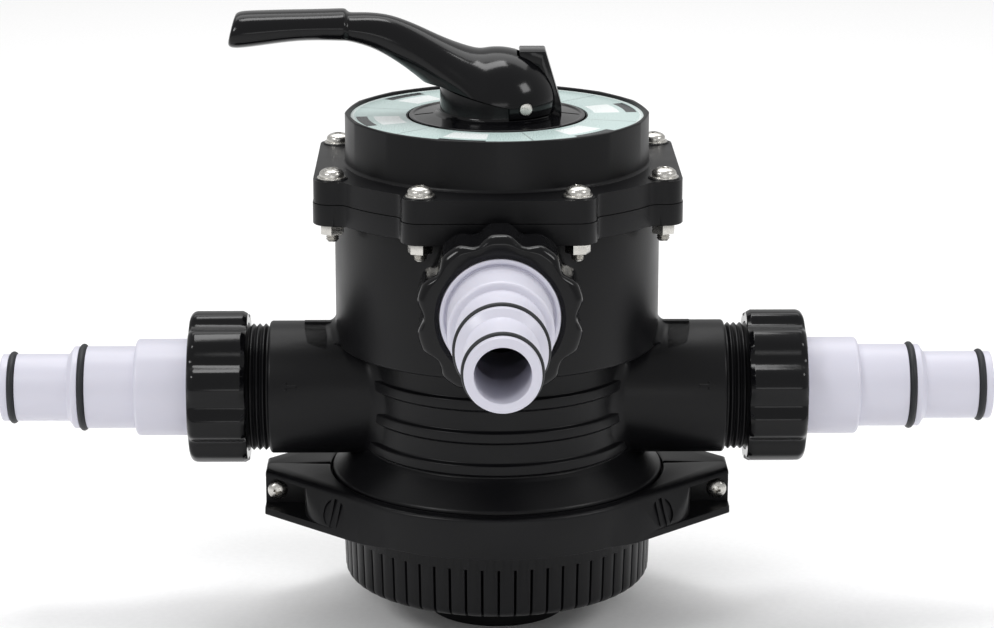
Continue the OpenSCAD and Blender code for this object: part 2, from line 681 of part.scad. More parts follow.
module tank_seal_ring() color("#222224") torus(tank_ring_r, tank_ring_d, neck_len + 0.6 - squeeze);

module diffuser() color("#1f2022") difference() {
    union() {
        difference() {
            translate([0, 0, diffuser_z + 3]) cylinder(r = diffuser_r, h = neck_len - diffuser_z - 3);
            translate([0, 0, diffuser_z + diffuser_wall])
                cylinder(r = diffuser_r - diffuser_wall, h = neck_len - diffuser_z);
        }
        difference() {
            translate([0, 0, diffuser_z]) cylinder(r1 = diffuser_r - 3, r2 = diffuser_r, h = 3);
            translate([0, 0, diffuser_z + diffuser_wall]) cylinder(r = diffuser_r - diffuser_wall, h = diffuser_wall);
        }
        tube(neck_r + 3, neck_r, diffuser_z, diffuser_z + 12);
    }
    translate([0, 0, diffuser_z - e]) cylinder(r = neck_r, h = neck_len);
    for (n = [0:diffuser_slots - 1]) rotate([0, 0, (n + 0.5) * 360 / diffuser_slots])
        translate([diffuser_r - 2 * diffuser_wall, -slot_w / 2, diffuser_z + 4])
            cube([3 * diffuser_wall, slot_w, clamp_z - diffuser_z - 9]);
}

module standpipe_o_ring() color("#222224")
    torus(socket_r + pipe_ring_d / 2 + squeeze / 2, pipe_ring_d, pipe_ring_z);

valve_body();
spider_gasket();
rotor();
stem_o_rings();
rotor_spring();
spring_washer();
cover_o_ring();
top_cover();
position_label();
index_collar();
handle();
handle_pin();
cover_screws();
cover_washers();
cover_nuts();
union_nut(0);  // union_nut_left
union_nut(1);  // union_nut_right
union_nut(2);  // union_nut_front
hose_tail(0);  // hose_tail_left
hose_tail(1);  // hose_tail_right
hose_tail(2);  // hose_tail_front
union_o_ring(0);  // union_o_ring_left
union_o_ring(1);  // union_o_ring_right
union_o_ring(2);  // union_o_ring_front
hose_o_rings(0);  // hose_o_rings_left
hose_o_rings(1);  // hose_o_rings_right
hose_o_rings(2);  // hose_o_rings_front
clamp_front_half();
clamp_rear_half();
clamp_screws();
clamp_nuts();
tank_seal_ring();
diffuser();
standpipe_o_ring();
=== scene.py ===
from math import acos, atan2, cos, degrees, floor, hypot, pi, radians, sin, sqrt, tan

import bmesh
import bpy
from bpy.props import FloatProperty, FloatVectorProperty, IntProperty, PointerProperty
from mathutils import Matrix, Vector


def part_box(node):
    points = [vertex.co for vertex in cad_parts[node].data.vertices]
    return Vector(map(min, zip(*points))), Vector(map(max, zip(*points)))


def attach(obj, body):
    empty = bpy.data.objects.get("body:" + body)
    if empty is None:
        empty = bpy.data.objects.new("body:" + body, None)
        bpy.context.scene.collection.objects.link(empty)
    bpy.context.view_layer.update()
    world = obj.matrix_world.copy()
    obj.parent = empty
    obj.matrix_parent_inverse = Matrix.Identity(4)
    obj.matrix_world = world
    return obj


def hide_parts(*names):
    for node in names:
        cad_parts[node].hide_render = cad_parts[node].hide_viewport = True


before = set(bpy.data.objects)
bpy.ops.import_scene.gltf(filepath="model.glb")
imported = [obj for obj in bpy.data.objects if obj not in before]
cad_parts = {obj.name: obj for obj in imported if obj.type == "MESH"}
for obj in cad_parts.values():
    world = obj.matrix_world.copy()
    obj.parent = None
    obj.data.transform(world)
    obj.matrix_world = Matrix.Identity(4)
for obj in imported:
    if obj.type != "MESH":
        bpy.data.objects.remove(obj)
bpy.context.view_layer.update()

bl_info = {
    "name": "Pool filter multiport valve",
    "version": (1, 0, 0),
    "blender": (4, 5, 0),
    "location": "3D Viewport > Sidebar > Multiport Valve",
    "description": "Builds the visible pieces of a six-way pool filter valve around its CAD frame",
    "category": "Object",
}

MM = 0.001

# Turns a shape drawn in XY, or along Z, so that it stands in XZ and its thickness runs along Y
STAND_UP = Matrix.Rotation(pi / 2, 4, "X")


def low(node):
    """Lowest corner of a CAD node, in millimetres."""
    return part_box(node)[0] / MM


def high(node):
    """Highest corner of a CAD node, in millimetres."""
    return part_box(node)[1] / MM


def mm(length):
    return length / MM


# Heights and reaches that the CAD frame gives, in millimetres
FLANGE_SEAM_Z = low("top_cover").z
RIM_Z = high("top_cover").z
LABEL_TOP_Z = high("position_label").z
COLLAR_Z = low("index_collar").z
PIN_AT = (low("handle_pin") + high("handle_pin")) / 2
PIN_PLACE = Matrix.Translation((PIN_AT.x, 0, PIN_AT.z)) @ STAND_UP
BASE_Z = high("diffuser").z
SIDE_PORT_Z = (low("union_nut_right").z + high("union_nut_right").z) / 2
FRONT_PORT_Z = (low("union_nut_front").z + high("union_nut_front").z) / 2

# Each port: turn about the selector axis, height, reach of its face
PORTS = {
    "left": (pi, SIDE_PORT_Z, -low("valve_body").x),
    "right": (0.0, SIDE_PORT_Z, high("valve_body").x),
    "front": (-pi / 2, FRONT_PORT_Z, -low("valve_body").y),
}

# Fixed sizes in millimetres that several pieces share
CHAMBER_WALL = 5         # thickness of the upper chamber's wall
SEAM_GAP = 0.15          # from the seam to the flange on either side of it
NUT_OVERHANG = 10.3      # from a port's face to the outside of its union nut
RING_STAND_OUT = 1.2     # how far a hose O-ring stands out of its step
EAR_SCREW_IN = 5.6       # from an ear's end to its screw
EAR_SEAT_Y = -9.5        # the face that a clamp screw's head sits on
CUTTER_REACH = 60        # half the width of a cutter that goes right through the lever or the collar
PIN_RADIUS = 3
THREAD_RADIUS = 3
HEX_NUT_HEIGHT = 5
SLOT_HEIGHT = 23.7       # from the diffuser's foot to the top of its slots


# ---------------------------------------------------------------- sizes and colours

def length(name, description, default):
    return FloatProperty(name=name, description=description, default=default * MM, min=0.0001,
                         subtype="DISTANCE", unit="LENGTH")


def colour(name, description, hex_value):
    return FloatVectorProperty(name=name, description=description, default=linear(hex_value),
                               size=4, min=0.0, max=1.0, subtype="COLOR")


def linear(hex_value):
    """An sRGB hex colour as a linear RGBA tuple."""
    channels = [int(hex_value[i:i + 2], 16) / 255 for i in (1, 3, 5)]
    return tuple(c / 12.92 if c <= 0.04045 else ((c + 0.055) / 1.055) ** 2.4 for c in channels) + (1.0,)


class BodySizes(bpy.types.PropertyGroup):
    chamber_radius: length("Chamber radius", "Outer radius of the upper chamber", 76.1)
    shell_radius: length("Shell radius", "Outer radius of the ribbed lower shell", 63)
    ledge_height: length("Ledge height", "Height of the chamber's lower edge", 134)
    rib_out: length("Rib depth", "How far the ribs stand out of the lower shell", 2)
    skirt_radius: length("Skirt radius", "Radius of the skirt that runs into the clamp", 78.5)
    base_radius: length("Base flange radius", "Radius of the flange held by the clamp", 83)
    neck_radius: length("Neck radius", "Outer radius of the standpipe neck", 33)
    socket_radius: length("Socket radius", "Radius of the standpipe socket", 25.2)
    flange_radius: length("Flange radius", "Radius of the bolt flange between its lobes", 85.3)
    bolt_circle: length("Bolt circle", "Distance of the cover bolts from the axis", 85.5)
    lobe_radius: length("Lobe radius", "Radius of one bolt lobe", 8.8)
    lobe_fillet: length("Lobe fillet", "Radius of the hollow beside a lobe", 6)
    side_bolt: FloatProperty(name="Side bolt angle", description="Angle of the bolts beside the side ports",
                             default=radians(27.85), subtype="ANGLE", unit="ROTATION")
    front_bolt: FloatProperty(name="Front bolt angle", description="Angle of the bolts beside the front port",
                              default=radians(65.8), subtype="ANGLE", unit="ROTATION")


class PortSizes(bpy.types.PropertyGroup):
    tube_radius: length("Tube radius", "Outer radius of a port's tube", 31.5)
    fillet: length("Tube fillet", "Radius of the hollow where a tube meets the body", 5)
    thread_radius: length("Thread radius", "Outer radius of a port's thread", 30.2)
    thread_depth: length("Thread depth", "Depth of a port's thread", 1.5)
    thread_pitch: length("Thread pitch", "Distance between two thread crests", 2.9)
    thread_length: length("Thread length", "Length of a port's threaded end", 27.4)
    bore_radius: length("Bore radius", "Radius of the water way in a port", 20)
    nut_radius: length("Nut radius", "Radius over the union nut's lobes", 36.7)
    nut_scallop: length("Nut scallop", "Depth of the hollows between the lobes", 3.3)
    nut_length: length("Nut length", "Length of the union nut", 27.4)
    nut_hole: length("Nut hole", "Radius of the hole in the nut's face", 26.7)
    nut_lobes: IntProperty(name="Nut lobes", description="Number of lobes round the union nut",
                           default=10, min=6, max=16)
    tail_end: length("Hose end radius", "Radius of the tail's end, for a 32 mm hose", 16)
    tail_middle: length("Middle step radius", "Radius of the tail's middle step, for a 38 mm hose", 19.55)
    tail_inner: length("Inner step radius", "Radius of the tail's inner step", 23)
    tail_bore: length("Tail bore", "Radius of the tail's water way", 11.8)
    ring_thickness: length("Ring thickness", "Thickness of a hose O-ring", 3.3)


class SelectorSizes(bpy.types.PropertyGroup):
    bulb_radius: length("Hub radius", "Radius of the lever's round hub", 28)
    collar_radius: length("Collar radius", "Radius of the index collar's disc", 41)
    hub_radius: length("Collar hub radius", "Radius of the collar's upright hub", 26.5)
    fin_half: length("Fin half thickness", "Half the thickness of the collar's fin", 8)
    bulb_height: length("Hub height", "Height of the lever's hub above its centre", 24.3)
    lever_length: length("Lever length", "From the selector axis to the end of the grip", 124.5)
    cover_radius: length("Cover radius", "Outer radius of the cover's wall", 70.85)
    cover_panels: IntProperty(name="Cover panels", description="Number of flats round the cover's wall",
                              default=16, min=8, max=32)
    recess_radius: length("Recess radius", "Radius of the recess that the collar lies in", 41.6)


class ClampSizes(bpy.types.PropertyGroup):
    ring_radius: length("Ring radius", "Outer radius of the tank clamp", 86.3)
    ear_reach: length("Ear reach", "Distance of an ear's end from the axis", 110.3)
    lip: length("Lip", "Thickness of the clamp's lips", 3.5)
    diffuser_radius: length("Diffuser radius", "Outer radius of the slotted diffuser", 73.5)
    diffuser_slots: IntProperty(name="Diffuser slots", description="Number of slots in the diffuser",
                                default=60, min=24, max=96)
    head_radius: length("Screw head radius", "Radius of a cover screw's pan head", 5.6)
    head_height: length("Screw head height", "Height of a cover screw's pan head", 4)
    nut_flats: length("Nut width", "Width of a hexagon nut across its flats", 10)


class Finishes(bpy.types.PropertyGroup):
    body: colour("Body", "Black of the moulded body", "#0a0a0c")
    gloss: colour("Lever and nuts", "Black of the polished mouldings", "#09090b")
    tail: colour("Hose tails", "White of the moulded hose tails", "#cccbd7")
    label: colour("Label", "Ground of the printed position label", "#bccfcc")


GROUPS = {"valve_body_sizes": BodySizes, "valve_port_sizes": PortSizes, "valve_selector_sizes": SelectorSizes,
          "valve_clamp_sizes": ClampSizes, "valve_finishes": Finishes}


# ---------------------------------------------------------------- outlines

def rounded(corners, steps=6, closed=False):
    """Points of an outline. A corner is (a, b) or (a, b, radius); a radius turns it into an arc."""
    points = []
    count = len(corners)
    for i, corner in enumerate(corners):
        here = Vector(corner[:2])
        radius = corner[2] if len(corner) > 2 else 0
        if radius == 0 or (not closed and i in (0, count - 1)):
            points.append(here)
            continue
        before = (Vector(corners[i - 1][:2]) - here)
        after = (Vector(corners[(i + 1) % count][:2]) - here)
        half = before.angle(after) / 2
        reach = min(radius / tan(half), 0.49 * before.length, 0.49 * after.length)
        radius = reach * tan(half)
        start = here + before.normalized() * reach
        end = here + after.normalized() * reach
        centre = here + (before.normalized() + after.normalized()).normalized() * (radius / sin(half))
        for k in range(steps + 1):
            mix = k / steps
            arm = (start - centre) * (1 - mix) + (end - centre) * mix
            points.append(centre + arm.normalized() * radius)
    return points


def on_circle(radius, angle, centre=Vector((0, 0))):
    """The point of a circle at an angle."""
    return Vector((centre.x + radius * cos(angle), centre.y + radius * sin(angle)))


def ring_section(centre_radius, height, thickness, steps=16):
    """Round cross-section of an O-ring."""
    centre, turn = Vector((centre_radius, height)), 2 * pi / steps
    return [on_circle(thickness / 2, k * turn, centre) for k in range(steps)]


# ---------------------------------------------------------------- mesh building

def lathe(bm, outline, steps=160, closed=True, at=Matrix.Identity(4)):
    """Spins an outline of (radius, height) points about the Z axis and returns the new vertices."""
    verts = [bm.verts.new((p[0], 0, p[1])) for p in outline]
    pairs = zip(verts, verts[1:] + verts[:1] if closed else verts[1:])
    edges = [bm.edges.new(pair) for pair in pairs]
    before = set(bm.verts) - set(verts)
    bmesh.ops.spin(bm, geom=verts + edges, cent=(0, 0, 0), axis=(0, 0, 1), dvec=(0, 0, 0),
                   angle=2 * pi, steps=steps, use_merge=True, use_duplicate=False)
    made = [v for v in bm.verts if v not in before]
    bmesh.ops.transform(bm, matrix=at, verts=made)
    return made


def slab(bm, outline, z0, z1, foot=0.0, rim=None, segments=3, at=Matrix.Identity(4)):
    """A flat plate: a closed outline filled and extruded from z0 to z1, its foot and rim rounded."""
    verts = [bm.verts.new((p[0], p[1], z0)) for p in outline]
    face = bm.faces.new(verts)
    lifted = bmesh.ops.extrude_face_region(bm, geom=[face])
    top = [g for g in lifted["geom"] if isinstance(g, bmesh.types.BMVert)]
    bmesh.ops.translate(bm, vec=(0, 0, z1 - z0), verts=top)
    made = verts + top
    for level, size in ((z0, foot), (z1, foot if rim is None else rim)):
        if size > 0:
            edges = [e for e in bm.edges if e.verts[0] in made and e.verts[1] in made
                     and all(abs(v.co.z - level) < 1e-6 for v in e.verts)]
            result = bmesh.ops.bevel(bm, geom=edges, offset=size, offset_type="OFFSET", affect="EDGES",
                                     segments=segments, profile=0.5, material=-1, clamp_overlap=True)
            made = list({v for v in made if v.is_valid} | set(result["verts"]))
    bmesh.ops.transform(bm, matrix=at, verts=made)
    return made


def box(bm, low_corner, high_corner, at=Matrix.Identity(4)):
    """A plain block, used as a cutter or as the start of a small moulding."""
    lo, hi = Vector(low_corner), Vector(high_corner)
    place = at @ Matrix.Translation((lo + hi) / 2) @ Matrix.Diagonal((*(hi - lo), 1))
    return bmesh.ops.create_cube(bm, size=1, matrix=place)["verts"]


def drum(bm, radius, z0, z1, at=Matrix.Identity(4), sides=48):
    """A plain cylinder from z0 to z1."""
    place = at @ Matrix.Translation((0, 0, (z0 + z1) / 2))
    return bmesh.ops.create_cone(bm, cap_ends=True, segments=sides, radius1=radius, radius2=radius,
                                 depth=z1 - z0, matrix=place)["verts"]


def mesh_object(bm, name, smooth_angle=35, recalc=True):
    """Turns a bmesh in millimetres into an object in metres, closed up and facing outwards."""
    bmesh.ops.remove_doubles(bm, verts=bm.verts, dist=1e-4)
    bmesh.ops.dissolve_degenerate(bm, dist=1e-5, edges=bm.edges)
    if recalc:
        bmesh.ops.recalc_face_normals(bm, faces=bm.faces)
    bmesh.ops.scale(bm, vec=(MM, MM, MM), verts=bm.verts)
    mesh = bpy.data.meshes.new(name)
    bm.to_mesh(mesh)
    bm.free()
    mesh.shade_smooth()
    mesh.set_sharp_from_angle(angle=radians(smooth_angle))
    piece = bpy.data.objects.new(name, mesh)
    bpy.context.scene.collection.objects.link(piece)
    return piece


def settle(piece, smooth_angle=35):
    """Replaces a piece's mesh with its modifiers' result and clears the modifiers."""
    bpy.context.view_layer.update()
    evaluated = piece.evaluated_get(bpy.context.evaluated_depsgraph_get())
    mesh = bpy.data.meshes.new_from_object(evaluated)
    piece.modifiers.clear()
    piece.data = mesh
    mesh.shade_smooth()
    mesh.set_sharp_from_angle(angle=radians(smooth_angle))


def combine(piece, cutter, operation="DIFFERENCE", smooth_angle=35):
    """Cuts a piece with another mesh, or joins the two, and removes the other mesh."""
    tool = piece.modifiers.new("cut", "BOOLEAN")
    tool.operation = operation
    tool.solver = "EXACT"
    tool.object = cutter
    settle(piece, smooth_angle)
    bpy.data.objects.remove(cutter)
    if not piece.data.polygons:
        raise RuntimeError(f"{piece.name} came out empty")


def finish_piece(piece, body, slot, maker, *nodes):
    """Gives a finished piece the material that maker makes and its body, and hides the CAD nodes that it
    stands for.
    """
    piece.data.materials.clear()
    piece.data.materials.append(finish_named(maker))
    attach(piece, body)
    if nodes:
        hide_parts(*nodes)


def port_place(port):
    """Matrix that puts the local Z axis along a port, outwards, with its origin on the selector axis."""
    turn, height, _reach = PORTS[port]
    return Matrix.Translation((0, 0, height)) @ Matrix.Rotation(turn, 4, "Z") \
        @ Matrix.Rotation(pi / 2, 4, "Y")


def bolt_angles(sizes):
    quarter = [sizes.side_bolt, sizes.front_bolt, pi - sizes.front_bolt, pi - sizes.side_bolt]
    return quarter + [a + pi for a in quarter]


def flange_outline(sizes, grow=0.0, arc_steps=6):
    """The bolt flange seen from above: round lobes, straight edges on its four sides and arcs between."""
    plate, lobe = mm(sizes.flange_radius) + grow, mm(sizes.lobe_radius) + grow
    fillet, reach = mm(sizes.lobe_fillet), mm(sizes.bolt_circle)
    hollow_at = plate + fillet
    swing = acos((reach ** 2 + hollow_at ** 2 - (lobe + fillet) ** 2) / (2 * reach * hollow_at))
    points = []
    angles = bolt_angles(sizes)
    for i, angle in enumerate(angles):
        bolt = on_circle(reach, angle)
        edge = on_circle(1, round(angle / (pi / 2)) * pi / 2)
        side = -1 if i % 2 else 1
        hollow = on_circle(hollow_at, angle + side * swing)
        if side > 0:
            points += arc(bolt, lobe, bolt + edge, hollow, 2 * arc_steps, outward=True)
            points += arc(hollow, fillet, bolt, Vector((0, 0)), arc_steps)
            span = angles[i + 1] - angle - 2 * swing
            points += [on_circle(plate, angle + swing + span * k / 12) for k in range(1, 12)]
        else:
            points += arc(hollow, fillet, Vector((0, 0)), bolt, arc_steps)
            points += arc(bolt, lobe, hollow, bolt + edge, 2 * arc_steps, outward=True)
    return points


def arc(centre, radius, start, end, steps, outward=None):
    """Points on a circle from the direction of start to that of end, the short way or past an angle."""
    a0 = atan2(start.y - centre.y, start.x - centre.x)
    a1 = atan2(end.y - centre.y, end.x - centre.x)
    if outward is None:
        sweep = (a1 - a0 + pi) % (2 * pi) - pi
    else:
        sweep = (a1 - a0) % (2 * pi)
    return [on_circle(radius, a0 + sweep * k / steps, centre) for k in range(steps + 1)]


# ---------------------------------------------------------------- materials

def add_node(tree, kind, settings=None, links=None):
    """Adds one shader node, sets its properties and inputs, and links its inputs to other sockets."""
    node = tree.nodes.new(kind)
    for key, value in (settings or {}).items():
        if isinstance(key, int) or key in node.inputs:
            node.inputs[key].default_value = value
        else:
            setattr(node, key, value)
    for key, socket in (links or {}).items():
        tree.links.new(socket, node.inputs[key])
    return node


def new_material(name):
    """An empty material with an output node; returns the material and its node tree."""
    material = bpy.data.materials.new(name)
    material.use_nodes = True
    material.node_tree.nodes.clear()
    return material, material.node_tree


def surface(tree, shader):
    add_node(tree, "ShaderNodeOutputMaterial", links={"Surface": shader.outputs["BSDF"]})


def moulded_grain(tree, size, detail=2.0):
    """Noise on Object coordinates whose grains are about size millimetres across."""
    coords = add_node(tree, "ShaderNodeTexCoord")
    return add_node(tree, "ShaderNodeTexNoise",
                    {"Scale": 1 / (size * MM), "Detail": detail, "Roughness": 0.55},
                    {"Vector": coords.outputs["Object"]})


def spread(tree, noise, low_value, high_value):
    """Maps a noise's middle range onto two values."""
    return add_node(tree, "ShaderNodeMapRange", {"From Min": 0.3, "From Max": 0.7, "To Min": low_value,
                                                 "To Max": high_value}, {"Value": noise.outputs["Fac"]})


def tinted(tree, noise, base, lift):
    """The base colour, drifting a little lighter where the noise is high."""
    ramp = add_node(tree, "ShaderNodeValToRGB", links={"Fac": noise.outputs["Fac"]})
    ramp.color_ramp.elements[0].position = 0.35
    ramp.color_ramp.elements[0].color = tuple(base)
    ramp.color_ramp.elements[1].position = 0.7
    ramp.color_ramp.elements[1].color = tuple(min(1.0, c * lift) for c in base[:3]) + (1.0,)
    return ramp


def plastic(name, base, roughness, grain_mm, bump_mm, lift=1.12, level=0.5):
    """A moulded plastic: fine grain in the bump, slow drift in colour and gloss."""
    material, tree = new_material(name)
    fine = moulded_grain(tree, grain_mm, 3.0)
    slow = moulded_grain(tree, 38, 2.0)
    shade = tinted(tree, slow, base, lift)
    gloss = spread(tree, slow, roughness * 0.88, roughness * 1.14)
    bump = add_node(tree, "ShaderNodeBump", {"Strength": 0.6, "Distance": bump_mm * MM},
                    {"Height": fine.outputs["Fac"]})
    shader = add_node(tree, "ShaderNodeBsdfPrincipled", {"IOR": 1.5, "Specular IOR Level": level},
                      {"Base Color": shade.outputs["Color"], "Roughness": gloss.outputs["Result"],
                       "Normal": bump.outputs["Normal"]})
    surface(tree, shader)
    return material


def moulded_abs():
    """Black ABS from a spark-eroded mould: a dense satin skin with a fine orange peel."""
    base = bpy.context.scene.valve_finishes.body
    return plastic("moulded ABS, satin black", base, 0.36, 1.1, 0.05, level=0.2)


def polished_abs():
    """Black ABS from a polished mould: glossy, with faint flow marks."""
    base = bpy.context.scene.valve_finishes.gloss
    return plastic("polished ABS, gloss black", base, 0.14, 2.6, 0.03, level=0.24)


def white_abs():
    """White ABS hose tails: soft satin, slightly cool, light sinking a little under the skin."""
    base = bpy.context.scene.valve_finishes.tail
    material = plastic("moulded ABS, white", base, 0.33, 0.9, 0.03, lift=1.02)
    shader = next(n for n in material.node_tree.nodes if n.type == "BSDF_PRINCIPLED")
    shader.inputs["Subsurface Weight"].default_value = 0.08
    shader.inputs["Subsurface Radius"].default_value = (0.004, 0.003, 0.0025)
    return material


def epdm_rubber():
    """Black EPDM O-rings: matt, faintly dusty, with a slight mould texture."""
    return plastic("EPDM rubber, moulded", linear("#1b1d20"), 0.5, 0.7, 0.05, lift=1.35, level=0.35)


def rotor_abs():
    """Dark grey glass-filled rotor plastic, matt and slightly mottled."""
    return plastic("glass-filled polypropylene, dark grey", linear("#3a3c40"), 0.55, 0.8, 0.08, lift=1.2)


def acetal():
    """White acetal washer, waxy and smooth."""
    return plastic("turned acetal, natural white", linear("#d8d8d3"), 0.4, 1.5, 0.03, lift=1.03)


def stainless():
    """Cold-headed stainless steel: bright, with fine turning marks and small stains in the gloss."""
    material, tree = new_material("cold-headed stainless steel")
    fine = moulded_grain(tree, 0.5, 4.0)
    slow = moulded_grain(tree, 4, 3.0)
    shade = tinted(tree, slow, linear("#c4c2bd"), 1.18)
    gloss = spread(tree, fine, 0.2, 0.36)
    bump = add_node(tree, "ShaderNodeBump", {"Strength": 0.35, "Distance": 0.04 * MM},
                    {"Height": fine.outputs["Fac"]})
    shader = add_node(tree, "ShaderNodeBsdfPrincipled", {"Metallic": 1.0},
                      {"Base Color": shade.outputs["Color"], "Roughness": gloss.outputs["Result"],
                       "Normal": bump.outputs["Normal"]})
    surface(tree, shader)
    return material


def printed_label():
    """Printed polyester film: a satin ground in six fields, thin dividing lines and plain picture blocks."""
    material, tree = new_material("printed polyester film")
    coords = add_node(tree, "ShaderNodeTexCoord")
    split = add_node(tree, "ShaderNodeSeparateXYZ", links={"Vector": coords.outputs["Object"]})
    turn = add_node(tree, "ShaderNodeMath", {"operation": "ARCTAN2"},
                    {0: split.outputs["Y"], 1: split.outputs["X"]})
    plan = add_node(tree, "ShaderNodeCombineXYZ", links={"X": split.outputs["X"], "Y": split.outputs["Y"]})
    radius = add_node(tree, "ShaderNodeVectorMath", {"operation": "LENGTH"}, {0: plan.outputs["Vector"]})
    # Position within one of the six fields, -0.5 to 0.5 across it
    field = add_node(tree, "ShaderNodeMath", {"operation": "MULTIPLY_ADD", 1: 6 / (2 * pi), 2: 6.26},
                     {0: turn.outputs["Value"]})
    across = add_node(tree, "ShaderNodeMath", {"operation": "FRACT"}, {0: field.outputs["Value"]})
    centred = add_node(tree, "ShaderNodeMath", {"operation": "SUBTRACT", 1: 0.5},
                       {0: across.outputs["Value"]})
    aside = add_node(tree, "ShaderNodeMath", {"operation": "ABSOLUTE"}, {0: centred.outputs["Value"]})
    line = add_node(tree, "ShaderNodeMath", {"operation": "GREATER_THAN", 1: 0.493},
                    {0: aside.outputs["Value"]})
    outer = band(tree, radius, 66.4, 68.6)
    block = add_node(tree, "ShaderNodeMath", {"operation": "LESS_THAN", 1: 0.17}, {0: aside.outputs["Value"]})
    title = add_node(tree, "ShaderNodeMath", {"operation": "MULTIPLY"},
                     {0: band(tree, radius, 60.4, 65.6).outputs["Value"], 1: block.outputs["Value"]})
    picture = add_node(tree, "ShaderNodeMath", {"operation": "MULTIPLY"},
                       {0: band(tree, radius, 45.5, 57.5).outputs["Value"], 1: block.outputs["Value"]})
    ground = add_node(tree, "ShaderNodeRGB")
    ground.outputs["Color"].default_value = bpy.context.scene.valve_finishes.label
    printed = ground.outputs["Color"]
    for mask, ink in ((picture, "#e9efee"), (title, "#22282a"), (line, "#8d9c9a"), (outer, "#dde8e6")):
        printed = inked(tree, mask, printed, linear(ink))
    grain = moulded_grain(tree, 0.6, 2.0)
    gloss = spread(tree, grain, 0.24, 0.32)
    bump = add_node(tree, "ShaderNodeBump", {"Strength": 0.3, "Distance": 0.02 * MM},
                    {"Height": grain.outputs["Fac"]})
    shader = add_node(tree, "ShaderNodeBsdfPrincipled", {"IOR": 1.5},
                      {"Base Color": printed, "Roughness": gloss.outputs["Result"],
                       "Normal": bump.outputs["Normal"]})
    surface(tree, shader)
    return material


def band(tree, radius, inner_mm, outer_mm):
    """1 between two radii, 0 elsewhere."""
    middle, half = (inner_mm + outer_mm) / 2 * MM, (outer_mm - inner_mm) / 2 * MM
    return add_node(tree, "ShaderNodeMath", {"operation": "COMPARE", 1: middle, 2: half},
                    {0: radius.outputs["Value"]})


def inked(tree, mask, below, ink):
    """The colour below, with ink over it where the mask is 1. Inputs 6 and 7 are a Mix node's two colours."""
    node = add_node(tree, "ShaderNodeMix", {"data_type": "RGBA", 7: ink},
                    {0: mask.outputs["Value"], 6: below})
    return node.outputs[2]


MATERIALS = {}


def finish_named(maker):
    """The material that a function makes, made once."""
    if maker.__name__ not in MATERIALS:
        MATERIALS[maker.__name__] = maker()
    return MATERIALS[maker.__name__]


# ---------------------------------------------------------------- the body

def wrap_to_body(verts, port, body, foot):
    """Pushes a port tube's foot out along the port until it follows the body's round wall."""
    _turn, height, _reach = PORTS[port]
    chamber, shell, ledge = mm(body.chamber_radius), mm(body.shell_radius), mm(body.ledge_height)
    for v in verts:
        if v.co.z > foot + 1e-3:
            continue
        rise = height - v.co.x
        mix = min(1.0, max(0.0, (rise - ledge + 2) / 4))
        radius = shell + (chamber - shell) * mix * mix * (3 - 2 * mix)
        v.co.z += sqrt(max(radius ** 2 - v.co.y ** 2, 1)) - shell


def port_tube(bm, port, body, sizes):
    """One port: a tube with a filleted foot, a threaded end and the water way through it."""
    reach = PORTS[port][2]
    tube, fillet = mm(sizes.tube_radius), mm(sizes.fillet)
    crest, depth, pitch = mm(sizes.thread_radius), mm(sizes.thread_depth), mm(sizes.thread_pitch)
    start = reach - mm(sizes.thread_length)
    shell = mm(body.shell_radius)
    bore = mm(sizes.bore_radius)
    root = crest - depth
    foot = [(tube + fillet * (1 - sin(t)), shell + fillet * (1 - cos(t))) for t in
            [pi / 2 * k / 8 for k in range(9)]]
    outline = [(bore, shell - 4), (tube + fillet + 1, shell - 4), (tube + fillet + 1, shell)] + foot
    outline += [(tube, shell + fillet + 10)]
    relief = [(tube, shell + fillet + 12), (tube, start, 1.4), (root, start, 0.3), (root, start + 0.5)]
    outline += [tuple(p) for p in rounded(relief, 4)]
    threads = floor((mm(sizes.thread_length) - 2) / pitch)
    for n in range(threads):
        at = start + 0.8 + n * pitch
        outline += [(root, at), (crest - 0.15, at + 0.42 * pitch), (crest - 0.15, at + 0.55 * pitch),
                    (root, at + 0.97 * pitch)]
    outline += [(root, reach - 0.6), (root - 0.6, reach), (bore + 0.6, reach), (bore, reach - 0.6)]
    verts = lathe(bm, outline, 144)
    wrap_to_body(verts, port, body, shell + fillet + 10.5)
    bmesh.ops.transform(bm, matrix=port_place(port), verts=verts)


def arrow_mark(bm, port, sizes, direction):
    """A small raised flow arrow on the front of a side port's tube."""
    tube = mm(sizes.tube_radius)
    along = 98.0
    shape = [(-4, -0.7), (0.5, -0.7), (0.5, -2.2), (4, 0), (0.5, 2.2), (0.5, 0.7), (-4, 0.7)]
    if direction < 0:
        shape = [(-x, y) for x, y in reversed(shape)]
    turn = Matrix.Rotation(radians(-16), 4, "X")
    side = 1 if port == "right" else -1
    place = Matrix.Translation((side * along, 0, SIDE_PORT_Z)) @ turn \
        @ Matrix.Translation((0, -tube + 0.4, 0)) @ STAND_UP
    slab(bm, shape, 0, 0.9, 0, 0.15, 1, place)


